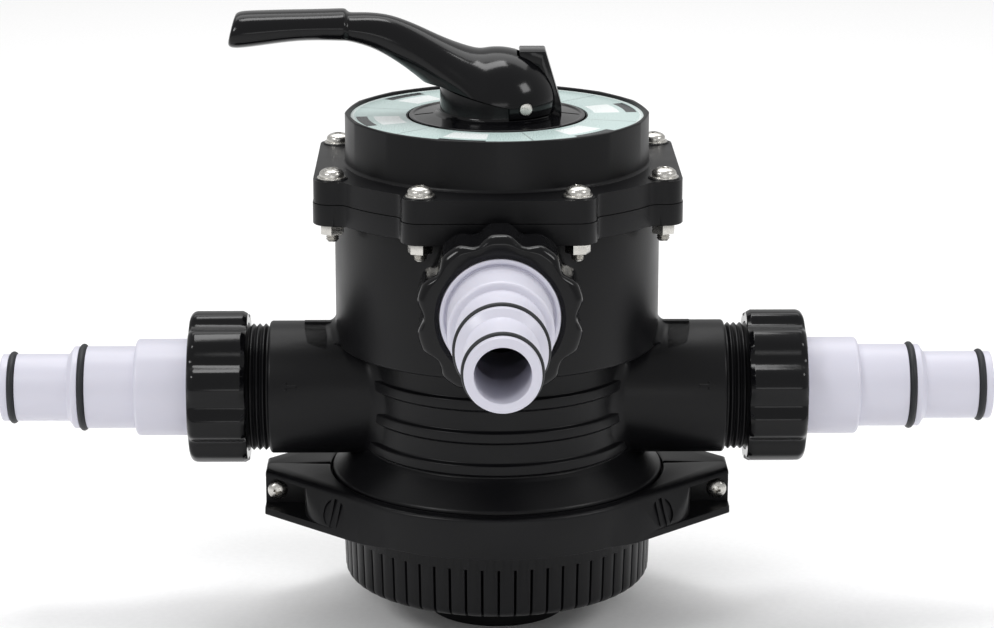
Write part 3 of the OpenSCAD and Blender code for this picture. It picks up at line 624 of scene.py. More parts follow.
class VALVE_OT_body(bpy.types.Operator):
    """Make the valve body: chamber, ribbed shell, bolt flange, ports and neck"""
    bl_idname = "valve.body"
    bl_label = "Valve body"

    def execute(self, context):
        body = context.scene.valve_body_sizes
        ports = context.scene.valve_port_sizes
        chamber, shell, ledge = mm(body.chamber_radius), mm(body.shell_radius), mm(body.ledge_height)
        skirt, base, neck = mm(body.skirt_radius), mm(body.base_radius), mm(body.neck_radius)
        socket, rib = mm(body.socket_radius), mm(body.rib_out)
        base_top = BASE_Z + 7.5
        corners = [(socket, 0, 0.8), (neck, 0, 0.8), (neck, BASE_Z, 0.5), (base, BASE_Z, 0.8),
                   (base, base_top, 0.8), (skirt, base_top, 0.4), (skirt, base_top + 4.3, 2.5),
                   (shell + 2.5, base_top + 14, 9)]
        pitch = (ledge - base_top) * 0.236
        for n in (1, 2, 3):
            foot = base_top + 1.8 + n * pitch
            corners += [(shell, foot - 1.2, 0.8), (shell + rib, foot, 0.7), (shell + rib, foot + 4.4, 0.7),
                        (shell, foot + 5.2, 0.8)]
        corners += [(shell, ledge, 1.8), (chamber, ledge, 1.6), (chamber, FLANGE_SEAM_Z - 0.4, 0.2),
                    (chamber - CHAMBER_WALL, FLANGE_SEAM_Z - 0.4, 0.2),
                    (chamber - CHAMBER_WALL, ledge + 12, 1),
                    (socket - 1.7, ledge + 12, 1), (socket - 1.7, 30, 0.2), (socket, 30, 0.2)]
        bm = bmesh.new()
        lathe(bm, rounded(corners, 5, closed=True), 200)
        for port in PORTS:
            port_tube(bm, port, body, ports)
        arrow_mark(bm, "left", ports, -1)
        arrow_mark(bm, "right", ports, 1)
        # Small gussets on top of the side tubes, under the chamber
        for side in (-1, 1):
            box(bm, (side * 84 - 7, -1.6, SIDE_PORT_Z + mm(ports.tube_radius) - 2),
                (side * 84 + 7, 1.6, SIDE_PORT_Z + mm(ports.tube_radius) + 0.9))
        piece = mesh_object(bm, "valve_body_shell", 30)
        finish_piece(piece, "housing", "body_plastic", moulded_abs, "valve_body")
        flange = body_flange(body, chamber)
        finish_piece(flange, "housing", "body_plastic", moulded_abs)
        return {"FINISHED"}


def body_flange(body, chamber):
    """The body's lobed flange, with a rounded foot."""
    bm = bmesh.new()
    bottom = FLANGE_SEAM_Z - 10
    slab(bm, flange_outline(body), bottom, FLANGE_SEAM_Z - SEAM_GAP, 2.6, 0.5, 4)
    hollow = bmesh.new()
    drum(hollow, chamber - CHAMBER_WALL, bottom - 6, FLANGE_SEAM_Z + 3, sides=160)
    piece = mesh_object(bm, "valve_body_flange", 30)
    combine(piece, mesh_object(hollow, "hollow"), smooth_angle=30)
    return piece


# ---------------------------------------------------------------- the cover

class VALVE_OT_cover(bpy.types.Operator):
    """Make the top cover with its bolt flange and bolt pads, and the printed position label"""
    bl_idname = "valve.cover"
    bl_label = "Top cover and label"

    def execute(self, context):
        body = context.scene.valve_body_sizes
        sizes = context.scene.valve_selector_sizes
        wall = mm(sizes.cover_radius)
        recess = mm(sizes.recess_radius)
        flange_top = low("cover_washers").z
        bm = bmesh.new()
        corners = [(0.72 * wall, flange_top - 8), (wall + 4, flange_top - 8),
                   (wall + 4, flange_top - 0.4, 0.3), (wall, flange_top - 0.4, 2.2), (wall, RIM_Z, 0.7),
                   (wall - 2.45, RIM_Z, 0.5),
                   (wall - 2.45, LABEL_TOP_Z - 0.9, 0.2), (recess + 0.5, LABEL_TOP_Z - 0.9, 0.2),
                   (recess + 0.4, LABEL_TOP_Z - 0.1, 0.3), (recess, LABEL_TOP_Z - 0.3, 0.2),
                   (recess, COLLAR_Z - 0.3, 0.4), (19, COLLAR_Z - 0.3), (19, flange_top - 8)]
        verts = lathe(bm, rounded(corners, 4, closed=True), 320)
        panel_wall(verts, wall, sizes.cover_panels, flange_top + 1.5)
        slab(bm, flange_outline(body, -0.3), FLANGE_SEAM_Z + SEAM_GAP, flange_top, 0.4, 1.1, 3)
        for angle in bolt_angles(body):
            place = Matrix.Rotation(angle, 4, "Z") @ Matrix.Translation((mm(body.bolt_circle), 0, 0))
            pad = [(0, flange_top + 0.5), (7.2, flange_top + 0.5, 0.4), (7.6, flange_top - 0.5)]
            lathe(bm, rounded(pad, 4), 48, False, place)
        piece = mesh_object(bm, "top_cover_shell", 28)
        finish_piece(piece, "housing", "body_plastic", moulded_abs, "top_cover")
        bm = bmesh.new()
        film = [(recess + 0.7, LABEL_TOP_Z - 0.8), (wall - 2.6, LABEL_TOP_Z - 0.8),
                (wall - 2.6, LABEL_TOP_Z, 0.15), (recess + 0.7, LABEL_TOP_Z, 0.15)]
        lathe(bm, rounded(film, 3, closed=True), 160)
        label = mesh_object(bm, "position_label_film", 30)
        finish_piece(label, "housing", "label_film", printed_label, "position_label")
        return {"FINISHED"}


def panel_wall(verts, wall, panels, foot):
    """Flattens the cover's wall a little between evenly spaced upright edges."""
    pitch = 2 * pi / panels
    for v in verts:
        radius = hypot(v.co.x, v.co.y)
        if radius < wall - 0.8 or v.co.z < foot:
            continue
        turn = (atan2(v.co.y, v.co.x) + 2 * pi) % pitch - pitch / 2
        fade = min(1.0, (v.co.z - foot) / 2)
        scale = 1 - fade * (0.5 * (1 - cos(pitch / 2) / cos(turn)))
        v.co.x *= scale
        v.co.y *= scale


# ---------------------------------------------------------------- collar and lever

class VALVE_OT_collar(bpy.types.Operator):
    """Make the index collar: a disc with two pointer marks, a sloping hub and an upright fin"""
    bl_idname = "valve.collar"
    bl_label = "Index collar"

    def execute(self, context):
        sizes = context.scene.valve_selector_sizes
        disc, hub = mm(sizes.collar_radius), mm(sizes.hub_radius)
        top = COLLAR_Z + 2.2
        bm = bmesh.new()
        outline = [(0, COLLAR_Z), (disc, COLLAR_Z, 0.4), (disc, top + 0.2, 0.5), (disc - 1.6, top + 0.2, 0.4),
                   (disc - 2.2, top - 0.3, 0.4), (hub + 2.6, top + 0.7, 1), (hub, top + 1.6, 2),
                   (hub, PIN_AT.z + 12), (0, PIN_AT.z + 12)]
        lathe(bm, rounded(outline, 5), 200, False)
        piece = mesh_object(bm, "index_collar_body", 30)
        cutter = bmesh.new()
        edge = PIN_AT.x - 7.8
        slope = [(-hub - 12, PIN_AT.z + 8.65 + 12 * 0.18), (edge, PIN_AT.z + 0.65), (edge, top + 1.7),
                 (hub + 12, top + 1.7), (hub + 12, PIN_AT.z + 40), (-hub - 12, PIN_AT.z + 40)]
        slab(cutter, slope, -CUTTER_REACH, CUTTER_REACH, at=STAND_UP)
        for side in (-1, 1):
            start, end = side * (hub + 3.2), side * (disc - 2.6)
            pointer = [(start, -0.9), (end, -0.9, 0.8), (end, 0.9, 0.8), (start, 0.9)]
            slab(cutter, rounded(pointer, 4, closed=True), top - 0.9, top + 4)
        combine(piece, mesh_object(cutter, "slope"), smooth_angle=30)
        fin = bmesh.new()
        half = mm(sizes.fin_half)
        low_x, fin_top = 19.4, high("index_collar").z
        outline = [(low_x, COLLAR_Z + 1), (hub + 3.3, COLLAR_Z + 1), (hub + 3.3, PIN_AT.z - 1, 6),
                   (hub - 4.2, fin_top, 1.2), (hub - 16.2, fin_top, 0.8),
                   (hub - 16.2, PIN_AT.z + 15.4, 0.5), (low_x, PIN_AT.z + 15.4, 0.5)]
        slab(fin, rounded(outline, 6, closed=True), -half, half, 0.5, 0.5, 2, STAND_UP)
        combine(piece, mesh_object(fin, "fin"), "UNION", 30)
        finish_piece(piece, "selector", "lever_plastic", polished_abs, "index_collar")
        return {"FINISHED"}


# The lever's sections in millimetres: x, top and bottom above the pin, half width.
# The grip ends in a step at -70
LEVER_SECTIONS = [
    (-121.3, 38.6, 27.6, 10.4), (-120.6, 40.9, 25.6, 12.0), (-117.5, 41.8, 24.9, 12.7),
    (-109, 42.0, 26.1, 12.6), (-98, 42.3, 27.9, 12.3), (-88, 42.4, 28.8, 12.1),
    (-76, 42.7, 28.6, 12.0), (-71.2, 42.9, 28.4, 12.0), (-69.8, 42.6, 28.4, 11.8),
    (-68.7, 41.0, 28.2, 10.8), (-66.5, 41.0, 27.8, 10.7), (-58.4, 41.1, 25.5, 10.7),
    (-50.9, 40.2, 21.5, 10.9), (-44.8, 38.4, 17.6, 11.6), (-36.2, 35.0, 11.0, 13.2),
    (-28, 30.9, 3.5, 16), (-20.3, 27.6, -3, 20), (-14, 25.4, -9, 23.4)]


def lever_sections(sizes):
    """All of the lever's sections in millimetres: grip and neck as listed, hub from its sphere."""
    ball, tall = mm(sizes.bulb_radius), mm(sizes.bulb_height)
    stretch = mm(sizes.lever_length) / 124.5
    rows = [(x * stretch, top, bottom, half) for x, top, bottom, half in LEVER_SECTIONS]
    for k in range(15):
        turn = radians(107 - k * 107 / 14)
        size = sin(turn) if k < 14 else 0.02
        rows.append((ball * cos(turn), 0.7 + tall * size, 0.7 - tall * size, ball * size))
    return rows


class VALVE_OT_lever(bpy.types.Operator):
    """Make the lever handle: one lofted moulding, cut underneath and slotted for the fin"""
    bl_idname = "valve.lever"
    bl_label = "Lever handle and pin"

    def execute(self, context):
        sizes = context.scene.valve_selector_sizes
        ball, hub = mm(sizes.bulb_radius), mm(sizes.hub_radius)
        bm = bmesh.new()
        ring = bmesh.ops.create_circle(bm, segments=40, radius=1, cap_ends=True)["verts"]
        unit = [v.co.copy() for v in ring]
        rows = lever_sections(sizes)
        place_section(ring, unit, rows[0])
        for row in rows[1:]:
            edges = [e for e in bm.edges if e.verts[0] in ring and e.verts[1] in ring]
            grown = bmesh.ops.extrude_edge_only(bm, edges=edges)["geom"]
            new_ring = [g for g in grown if isinstance(g, bmesh.types.BMVert)]
            ring = match_ring(ring, new_ring)
            place_section(ring, unit, row)
        bmesh.ops.contextual_create(bm, geom=ring)
        piece = mesh_object(bm, "lever_handle", 60)
        smooth = piece.modifiers.new("smooth", "SUBSURF")
        smooth.levels = smooth.render_levels = 2
        settle(piece, 60)
        cutter = bmesh.new()
        edge = PIN_AT.x - 7.5
        foot = PIN_AT.z - 4.1
        slope = [(-70, PIN_AT.z - 60), (-70, PIN_AT.z + 10), (-hub - 14, PIN_AT.z + 10),
                 (-hub, PIN_AT.z + 9), (edge, PIN_AT.z + 1), (edge, foot), (60, foot), (60, PIN_AT.z - 60)]
        slab(cutter, slope, -CUTTER_REACH, CUTTER_REACH, at=STAND_UP)
        combine(piece, mesh_object(cutter, "underside"), smooth_angle=38)
        cutter = bmesh.new()
        roof = [(-20, foot - 20), (20, foot - 20), (20, PIN_AT.z + 8.4), (PIN_AT.x, PIN_AT.z + 8.4),
                (-20, PIN_AT.z + 14.2)]
        slab(cutter, roof, -10.3, 10.3, at=STAND_UP)
        combine(piece, mesh_object(cutter, "stem pocket"), smooth_angle=38)
        cutter = bmesh.new()
        half = mm(sizes.fin_half) + 0.3
        slot = [(hub - 17.4, PIN_AT.z + 2), (17.9, PIN_AT.z + 2), (17.9, foot - 20), (60, foot - 20),
                (60, PIN_AT.z + 60), (hub - 17.4, PIN_AT.z + 60)]
        slab(cutter, slot, -half, half, at=STAND_UP)
        combine(piece, mesh_object(cutter, "fin slot"), smooth_angle=38)
        cutter = bmesh.new()
        drum(cutter, PIN_RADIUS + 0.15, -CUTTER_REACH, CUTTER_REACH, PIN_PLACE)
        combine(piece, mesh_object(cutter, "pin hole"), smooth_angle=38)
        finish_piece(piece, "lever", "lever_plastic", polished_abs, "handle")
        self.make_pin(ball)
        return {"FINISHED"}

    def make_pin(self, ball):
        half = sqrt(ball ** 2 - PIN_AT.x ** 2) - 0.6
        bm = bmesh.new()
        outline = rounded([(0, -half), (PIN_RADIUS, -half, 0.5), (PIN_RADIUS, half, 0.5), (0, half)], 4)
        lathe(bm, outline, 48, False, PIN_PLACE)
        pin = mesh_object(bm, "lever_pin", 30)
        finish_piece(pin, "diverter", "stainless", stainless, "handle_pin")


def match_ring(old, new):
    """Puts the vertices of an extruded ring in the order of the ring that it came from."""
    ordered = []
    for v in old:
        partner = next(e.other_vert(v) for e in v.link_edges if e.other_vert(v) in new)
        ordered.append(partner)
    return ordered


def place_section(ring, unit, row):
    """Shapes a ring of vertices as one of the lever's upright sections."""
    x, top, bottom, half = row
    power = 0.8 if x < -40 else 1.0
    for v, u in zip(ring, unit):
        y = half * abs(u.x) ** power * (1 if u.x >= 0 else -1)
        z = abs(u.y) ** power * (1 if u.y >= 0 else -1)
        middle, height = (top + bottom) / 2, (top - bottom) / 2
        lean = 3.1 * (0.5 - z / 2) * min(1.0, max(0.0, (-x - 100) / 18))
        taper = 1 - 0.14 * max(0, z) if x < -40 else 1
        v.co = (x - lean, y * taper, PIN_AT.z + middle + height * z)


# ---------------------------------------------------------------- unions and hose tails

def lobe_depth(turn, lobes):
    """How deep the union nut's outline is hollowed at an angle: 0 on a lobe, 1 between two lobes."""
    pitch = 2 * pi / lobes
    offset = abs((turn + pitch / 2) % pitch - pitch / 2) / (pitch / 2)
    mix = min(1.0, max(0.0, (offset - 0.24) / 0.76))
    return 0.5 - 0.5 * cos(pi * mix)


class VALVE_OT_unions(bpy.types.Operator):
    """Make the three union nuts with their rounded lobes"""
    bl_idname = "valve.unions"
    bl_label = "Union nuts"

    def execute(self, context):
        sizes = context.scene.valve_port_sizes
        for port, (_turn, _height, reach) in PORTS.items():
            bm = bmesh.new()
            verts = self.shape(bm, sizes, reach)
            bmesh.ops.transform(bm, matrix=port_place(port), verts=verts)
            piece = mesh_object(bm, f"union_nut_{port}_body", 40)
            finish_piece(piece, f"nut_{port}", "nut_plastic", polished_abs, f"union_nut_{port}")
        return {"FINISHED"}

    def shape(self, bm, sizes, reach):
        outer, hole = mm(sizes.nut_radius), mm(sizes.nut_hole)
        start = reach + NUT_OVERHANG - mm(sizes.nut_length)
        end = start + mm(sizes.nut_length)
        thread = mm(sizes.thread_radius) + 0.3
        outline = [(thread, start, 0.5), (outer - 1.2, start, 0.8), (outer, start + 2.2, 1),
                   (outer, start + 12), (outer, end, 6.5), (hole + 1.8, end, 0.4),
                   (hole, end - 0.9, 0.6), (hole, end - 5, 0.3), (thread, end - 5, 0.3)]
        verts = lathe(bm, rounded(outline, 7, closed=True), 240)
        valley = mm(sizes.nut_scallop)
        for v in verts:
            radius = hypot(v.co.x, v.co.y)
            if radius < thread + 1:
                continue
            share = min(1.0, (radius - thread - 1) / (outer - thread - 1))
            depth = valley * lobe_depth(atan2(v.co.y, v.co.x), sizes.nut_lobes) * share
            v.co.x *= 1 - depth / radius
            v.co.y *= 1 - depth / radius
        return verts


class VALVE_OT_hose_tails(bpy.types.Operator):
    """Make the three stepped hose tails and their O-rings"""
    bl_idname = "valve.hose_tails"
    bl_label = "Hose tails"

    def execute(self, context):
        sizes = context.scene.valve_port_sizes
        for port, (_turn, _height, reach) in PORTS.items():
            bm = bmesh.new()
            rings = self.shape(bm, sizes, reach, port_place(port))
            tail = mesh_object(bm, f"hose_tail_{port}_body", 28)
            finish_piece(tail, "housing", "tail_plastic", white_abs, f"hose_tail_{port}")
            bm = bmesh.new()
            for radius, along in rings:
                lathe(bm, ring_section(radius, along, mm(sizes.ring_thickness)), 120, True, port_place(port))
            seal = mesh_object(bm, f"hose_o_rings_{port}_pair", 60)
            finish_piece(seal, "housing", "seal_rubber", epdm_rubber, f"hose_o_rings_{port}")
        return {"FINISHED"}

    def shape(self, bm, sizes, reach, place):
        """Spins one tail and returns its ring grooves as (radius, distance) pairs."""
        end, middle, inner = mm(sizes.tail_end), mm(sizes.tail_middle), mm(sizes.tail_inner)
        bore, ring = mm(sizes.tail_bore), mm(sizes.ring_thickness)
        shoulder = mm(sizes.nut_hole) - 0.4
        face = reach + NUT_OVERHANG
        step3, step2, tip = face + 25.7, face + 57.1, face + 89.5
        rings = [(middle + RING_STAND_OUT - ring / 2, step2 - 6.2),
                 (end + RING_STAND_OUT - ring / 2, tip - 5.3)]
        corners = [(bore + 6, reach, 0.2), (shoulder + 2.9, reach, 0.4), (shoulder + 2.9, reach + 4.8, 0.4),
                   (shoulder, reach + 4.8, 0.3), (shoulder, face - 0.2, 0.6),
                   (shoulder - 1.8, face - 0.2, 0.6), (inner, face - 2.6, 1.2), (inner, step3, 2.2),
                   (middle, step3, 0.5)]
        corners += groove(rings[0], ring)
        corners += [(middle, step2 - 1.8, 0.7), (end, step2 + 0.6, 0.9)]
        corners += groove(rings[1], ring)
        corners += [(end, tip, 0.7), (bore, tip, 0.5), (bore, step2 - 3, 2), (bore + 3, step2 - 7, 2),
                    (bore + 3, step3 - 3, 2), (bore + 6, step3 - 8, 2)]
        lathe(bm, rounded(corners, 4, closed=True), 160, True, place)
        return rings


def groove(ring_at, thickness):
    """Corners of the square groove that an O-ring sits in."""
    radius, along = ring_at
    top, floor_radius = radius + thickness / 2 - RING_STAND_OUT, radius - thickness / 2 + 0.1
    half = thickness / 2 + 0.1
    return [(top, along - half, 0.15), (floor_radius, along - half, 0.2), (floor_radius, along + half, 0.2),
            (top, along + half, 0.15)]


# ---------------------------------------------------------------- clamp and diffuser

def clamp_outline(sizes):
    """Half of the clamp seen from above: the ring's front arc and two ears with 45 degree flanks."""
    ring, reach = mm(sizes.ring_radius), mm(sizes.ear_reach)
    tip = sqrt(2) * (ring - 0.2) - reach
    start = 45 - degrees(acos((ring - 0.2) / ring))
    front = [(ring * cos(radians(a)), -ring * sin(radians(a))) for a in
             [start + (180 - 2 * start) * k / 72 for k in range(73)]]
    points = [(reach, -0.4), (reach, -tip)] + front + [(-reach, -tip), (-reach, -0.4)]
    inner = ring - 7.2
    back = [(-inner * cos(radians(a)), -inner * sin(radians(a))) for a in
            [0.5 + 179 * k / 72 for k in range(73)]]
    return points + back


class VALVE_OT_clamp(bpy.types.Operator):
    """Make the two halves of the tank clamp, with pocketed ears and a round mark on each"""
    bl_idname = "valve.clamp"
    bl_label = "Tank clamp"

    def execute(self, context):
        sizes = context.scene.valve_clamp_sizes
        lo, hi = low("clamp_front_half").z, high("clamp_front_half").z
        middle = (lo + hi) / 2
        for name in ("front", "rear"):
            bm = bmesh.new()
            verts = slab(bm, clamp_outline(sizes), lo, hi, 0.7, 1.8, 4)
            self.lean_flanks(verts, sizes, lo, hi)
            piece = mesh_object(bm, f"clamp_{name}_half_body", 32)
            combine(piece, self.channel(sizes, lo, hi), smooth_angle=32)
            for side in (-1, 1):
                combine(piece, self.pocket(sizes, lo, hi, side), smooth_angle=32)
                combine(piece, self.screw_hole(sizes, middle - 0.3, side), smooth_angle=32)
                combine(piece, self.mark(middle, side), smooth_angle=32)
            if name == "rear":
                mirror_y(piece)
            finish_piece(piece, "housing", "body_plastic", moulded_abs, f"clamp_{name}_half")
        return {"FINISHED"}

    def channel(self, sizes, lo, hi):
        """The groove inside the ring that closes on the two flanges."""
        bm = bmesh.new()
        lip = mm(sizes.lip)
        drum(bm, mm(sizes.ring_radius) - 3.2, lo + lip, hi - lip, sides=160)
        return mesh_object(bm, "channel")

    def lean_flanks(self, verts, sizes, lo, hi):
        """Leans the ears' outer faces outwards towards their foot."""
        inner = mm(sizes.ring_radius) - 5
        for v in verts:
            if v.co.y > -1 or hypot(v.co.x, v.co.y) < inner:
                continue
            share = min(1.0, max(0.0, (abs(v.co.x) - 52) / 18))
            v.co.y -= share * (10.5 * (hi - v.co.z) / (hi - lo) - 2.5)

    def pocket(self, sizes, lo, hi, side):
        """The hollow in an ear for a screw's head, its inner end curving out to the flank."""
        bm = bmesh.new()
        reach = mm(sizes.ear_reach)
        inner = reach - 19.3
        outline = rounded([(reach + 40, EAR_SEAT_Y), (inner, EAR_SEAT_Y, 1), (inner, -35.5, 30),
                           (inner - 17, -52.5), (inner - 17, -90), (reach + 40, -90)], 10, closed=True)
        slab(bm, [Vector((side * p.x, p.y)) for p in outline], lo + 3, hi - 3)
        return mesh_object(bm, "pocket")

    def screw_hole(self, sizes, height, side):
        bm = bmesh.new()
        drum(bm, 3.4, -2, 30, Matrix.Translation((side * (mm(sizes.ear_reach) - EAR_SCREW_IN), 0, height))
             @ STAND_UP, 32)
        return mesh_object(bm, "hole")

    def mark(self, middle, side):
        """A round sunk mark with two upright bars left standing, on an ear's leaning flank."""
        bm = bmesh.new()
        lean = radians(20)
        face = Matrix.Translation((side * 76.8, -47.4, middle)) @ Matrix.Rotation(side * pi / 4, 4, "Z") \
            @ Matrix.Rotation(pi / 2 - lean, 4, "X")
        for x0, x1 in ((-6.7, -3.2), (-1.1, 1.1), (3.2, 6.7)):
            across = [x0 + (x1 - x0) * k / 8 for k in range(9)]
            top = [(x, sqrt(6.8 ** 2 - x ** 2)) for x in across]
            slab(bm, [(x, -y) for x, y in reversed(top)] + top, -0.9, 4, at=face)
        return mesh_object(bm, "mark")


def mirror_y(piece):
    """Mirrors a finished piece's mesh across the XZ plane."""
    bm = bmesh.new()
    bm.from_mesh(piece.data)
    bmesh.ops.scale(bm, vec=(1, -1, 1), verts=bm.verts)
    bmesh.ops.reverse_faces(bm, faces=bm.faces)
    bm.to_mesh(piece.data)
    bm.free()


class VALVE_OT_diffuser(bpy.types.Operator):
    """Make the slotted diffuser around the neck"""
    bl_idname = "valve.diffuser"
    bl_label = "Diffuser"

    def execute(self, context):
        sizes = context.scene.valve_clamp_sizes
        neck = mm(context.scene.valve_body_sizes.neck_radius)
        radius = mm(sizes.diffuser_radius)
        foot = low("diffuser").z
        bm = bmesh.new()
        slot_top = foot + SLOT_HEIGHT
        corners = [(neck, foot, 0.4), (radius - 0.8, foot, 4.5), (radius, slot_top - 0.1),
                   (radius, slot_top + 0.2), (radius, BASE_Z - 0.2, 0.4), (radius - 3, BASE_Z - 0.2, 0.4),
                   (radius - 3, foot + 3, 1), (neck + 3, foot + 3, 0.5),
                   (neck + 3, foot + 12, 0.5), (neck, foot + 12, 0.5)]
        outline = rounded(corners, 8, closed=True)
        columns = 12
        verts = lathe(bm, outline, columns * sizes.diffuser_slots)
        self.flute(verts, radius, foot, sizes.diffuser_slots, columns)
        piece = mesh_object(bm, "diffuser_body", 26)
        finish_piece(piece, "housing", "body_plastic", moulded_abs, "diffuser")
        return {"FINISHED"}

    def flute(self, verts, radius, foot, slots, columns):
        """Sinks one column in each pitch into a slot and crowns the bar between two slots."""
        pitch = 2 * pi / slots
        for v in verts:
            r = hypot(v.co.x, v.co.y)
            if r < radius - 5.2 or v.co.z > foot + SLOT_HEIGHT:
                continue
            if r < radius - 2.4 and v.co.z > foot + 2.5:
                continue
            share = (atan2(v.co.y, v.co.x) / pitch) % 1.0
            offset = abs(share - round(share))
            depth = 2.4 if offset < 0.4 / columns else 0.5 * max(0.0, 1 - offset / 0.5) ** 2
            fade = min(1.0, max(0.0, (r - radius + 5.2) / 3))
            v.co.x *= 1 - fade * depth / r
            v.co.y *= 1 - fade * depth / r


# ---------------------------------------------------------------- fasteners

def pan_head(bm, radius, height, place):
    """A pan head, its seat at the local origin. Its cross recess is cut out of it separately."""
    crown = [(0, -0.2), (radius, -0.2), (radius, 0.25 * height)]
    crown += [(radius * cos(t), 0.3 * height + 0.7 * height * sin(t)) for t in
              [pi / 2 * k / 8 for k in range(1, 8)]]
    lathe(bm, crown + [(0, height)], 48, False, place)


def recess_bar(bm, radius, height, place):
    """One tapered bar of the cross recess that is cut out of a pan head."""
    verts = box(bm, (-0.52 * radius, -0.75, 0.35 * height), (0.52 * radius, 0.75, 1.3 * height))
    for v in verts:
        if v.co.z < height / 2:
            v.co.x *= 0.4
            v.co.y *= 0.7
    bmesh.ops.transform(bm, matrix=place, verts=verts)


def hex_nut(bm, flats, height, place):
    """A hexagon nut with chamfered corners, its lower face at the local origin."""
    across = flats / cos(pi / 6)
    verts = drum(bm, across / 2, 0, height, sides=6)
    edges = list({e for v in verts for e in v.link_edges if abs(e.verts[0].co.z - e.verts[1].co.z) < 1e-6})
    cut = bmesh.ops.bevel(bm, geom=edges, offset=0.45, offset_type="OFFSET", affect="EDGES", segments=2,
                          profile=0.5, material=-1)
    made = list({v for v in verts if v.is_valid} | set(cut["verts"]))
    bmesh.ops.transform(bm, matrix=place, verts=made)


def threaded_end(bm, radius, z0, z1, place):
    """The end of a screw's shank: ring-shaped thread crests and a chamfered tip."""
    pitch = 1.0
    count = int((z1 - z0 - 0.6) / pitch)
    outline = [(0, z0), (radius - 0.8, z0), (radius - 0.45, z0 + 0.5)]
    for n in range(count):
        base = z0 + 0.6 + n * pitch
        outline += [(radius - 0.45, base), (radius, base + 0.45 * pitch), (radius - 0.45, base + 0.9 * pitch)]
    outline += [(radius - 0.45, z1), (0, z1)]
    lathe(bm, outline, 36, False, place)


class VALVE_OT_fasteners(bpy.types.Operator):
    """Make the cover's screws and nuts and the clamp's screws and nuts"""
    bl_idname = "valve.fasteners"
    bl_label = "Screws and nuts"

    def execute(self, context):
        body = context.scene.valve_body_sizes
        sizes = context.scene.valve_clamp_sizes
        head, height, flats = mm(sizes.head_radius), mm(sizes.head_height), mm(sizes.nut_flats)
        seat = high("cover_screws").z - height
        nut_foot = low("cover_nuts").z
        end = low("cover_screws").z
        bolts = [Matrix.Rotation(a, 4, "Z") @ Matrix.Translation((mm(body.bolt_circle), 0, 0)) @
                 Matrix.Rotation(1.7 * i, 4, "Z") for i, a in enumerate(bolt_angles(body))]
        self.screws("cover", [b @ Matrix.Translation((0, 0, seat)) for b in bolts], head, height, seat - end)
        self.nuts("cover", [b @ Matrix.Translation((0, 0, nut_foot)) for b in bolts], flats)
        self.washers(bolts, low("cover_washers").z, high("cover_washers").z)
        screw_x = mm(sizes.ear_reach) - EAR_SCREW_IN
        middle = (low("clamp_screws").z + high("clamp_screws").z) / 2
        spots = [(-1, 0.5), (1, 2.1)]
        seats = [Matrix.Translation((side * screw_x, EAR_SEAT_Y, middle)) @ STAND_UP
                 @ Matrix.Rotation(turn, 4, "Z") for side, turn in spots]
        self.screws("clamp", seats, head - 0.9, height, high("clamp_screws").y - EAR_SEAT_Y)
        nuts = [Matrix.Translation((side * screw_x, high("clamp_nuts").y, middle)) @ STAND_UP
                for side, _turn in spots]
        self.nuts("clamp", nuts, flats)
        return {"FINISHED"}

    def screws(self, name, places, head, height, shank):
        solid = bmesh.new()
        for place in places:
            pan_head(solid, head, height, place)
        piece = mesh_object(solid, f"{name}_screw_set", 40)
        for turn in (pi / 4, 3 * pi / 4):
            cut = bmesh.new()
            for place in places:
                recess_bar(cut, head, height, place @ Matrix.Rotation(turn, 4, "Z"))
            combine(piece, mesh_object(cut, "recesses"), smooth_angle=40)
        ends = bmesh.new()
        for place in places:
            threaded_end(ends, THREAD_RADIUS, -shank, 0, place)
        thread = mesh_object(ends, f"{name}_screw_threads", 30)
        finish_piece(piece, "housing", "stainless", stainless, f"{name}_screws")
        finish_piece(thread, "housing", "stainless", stainless)

    def washers(self, places, z0, z1):
        bm = bmesh.new()
        for place in places:
            outline = rounded([(3.1, z0), (6.6, z0, 0.2), (6.6, z1, 0.25), (3.1, z1)], 2, closed=True)
            lathe(bm, outline, 32, True, place)
        finish_piece(mesh_object(bm, "cover_washer_set", 30), "housing", "stainless", stainless,
                     "cover_washers")

    def nuts(self, name, places, flats):
        bm = bmesh.new()
        for place in places:
            hex_nut(bm, flats, HEX_NUT_HEIGHT, place)
        piece = mesh_object(bm, f"{name}_nut_set", 25)
        finish_piece(piece, "housing", "stainless", stainless, f"{name}_nuts")


# ---------------------------------------------------------------- pieces kept from the frame

KEPT_NODES = {
    epdm_rubber: ("spider_gasket", "stem_o_rings", "cover_o_ring", "tank_seal_ring", "standpipe_o_ring",
                  "union_o_ring_left", "union_o_ring_right", "union_o_ring_front"),
    rotor_abs: ("rotor",),
    acetal: ("spring_washer",),
    stainless: ("rotor_spring",),
}


class VALVE_OT_inner_finishes(bpy.types.Operator):
    """Give the frame's inner pieces their real finishes"""
    bl_idname = "valve.inner_finishes"
    bl_label = "Inner pieces"

    def execute(self, context):
        for maker, names in KEPT_NODES.items():
            for name in names:
                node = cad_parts[name]
                node.data.materials.clear()
                node.data.materials.append(finish_named(maker))
        return {"FINISHED"}


# ---------------------------------------------------------------- the stage

def soft_light(name, place, target, size, power):
    """A rectangular soft box at a place, turned to face a target."""
    data = bpy.data.lights.new(name, "AREA")
    data.shape = "RECTANGLE"
    data.size, data.size_y = size
    data.energy = power
    lamp = bpy.data.objects.new(name, data)
    lamp.location = place
    lamp.rotation_euler = (Vector(target) - Vector(place)).to_track_quat("-Z", "Y").to_euler()
    bpy.context.scene.collection.objects.link(lamp)


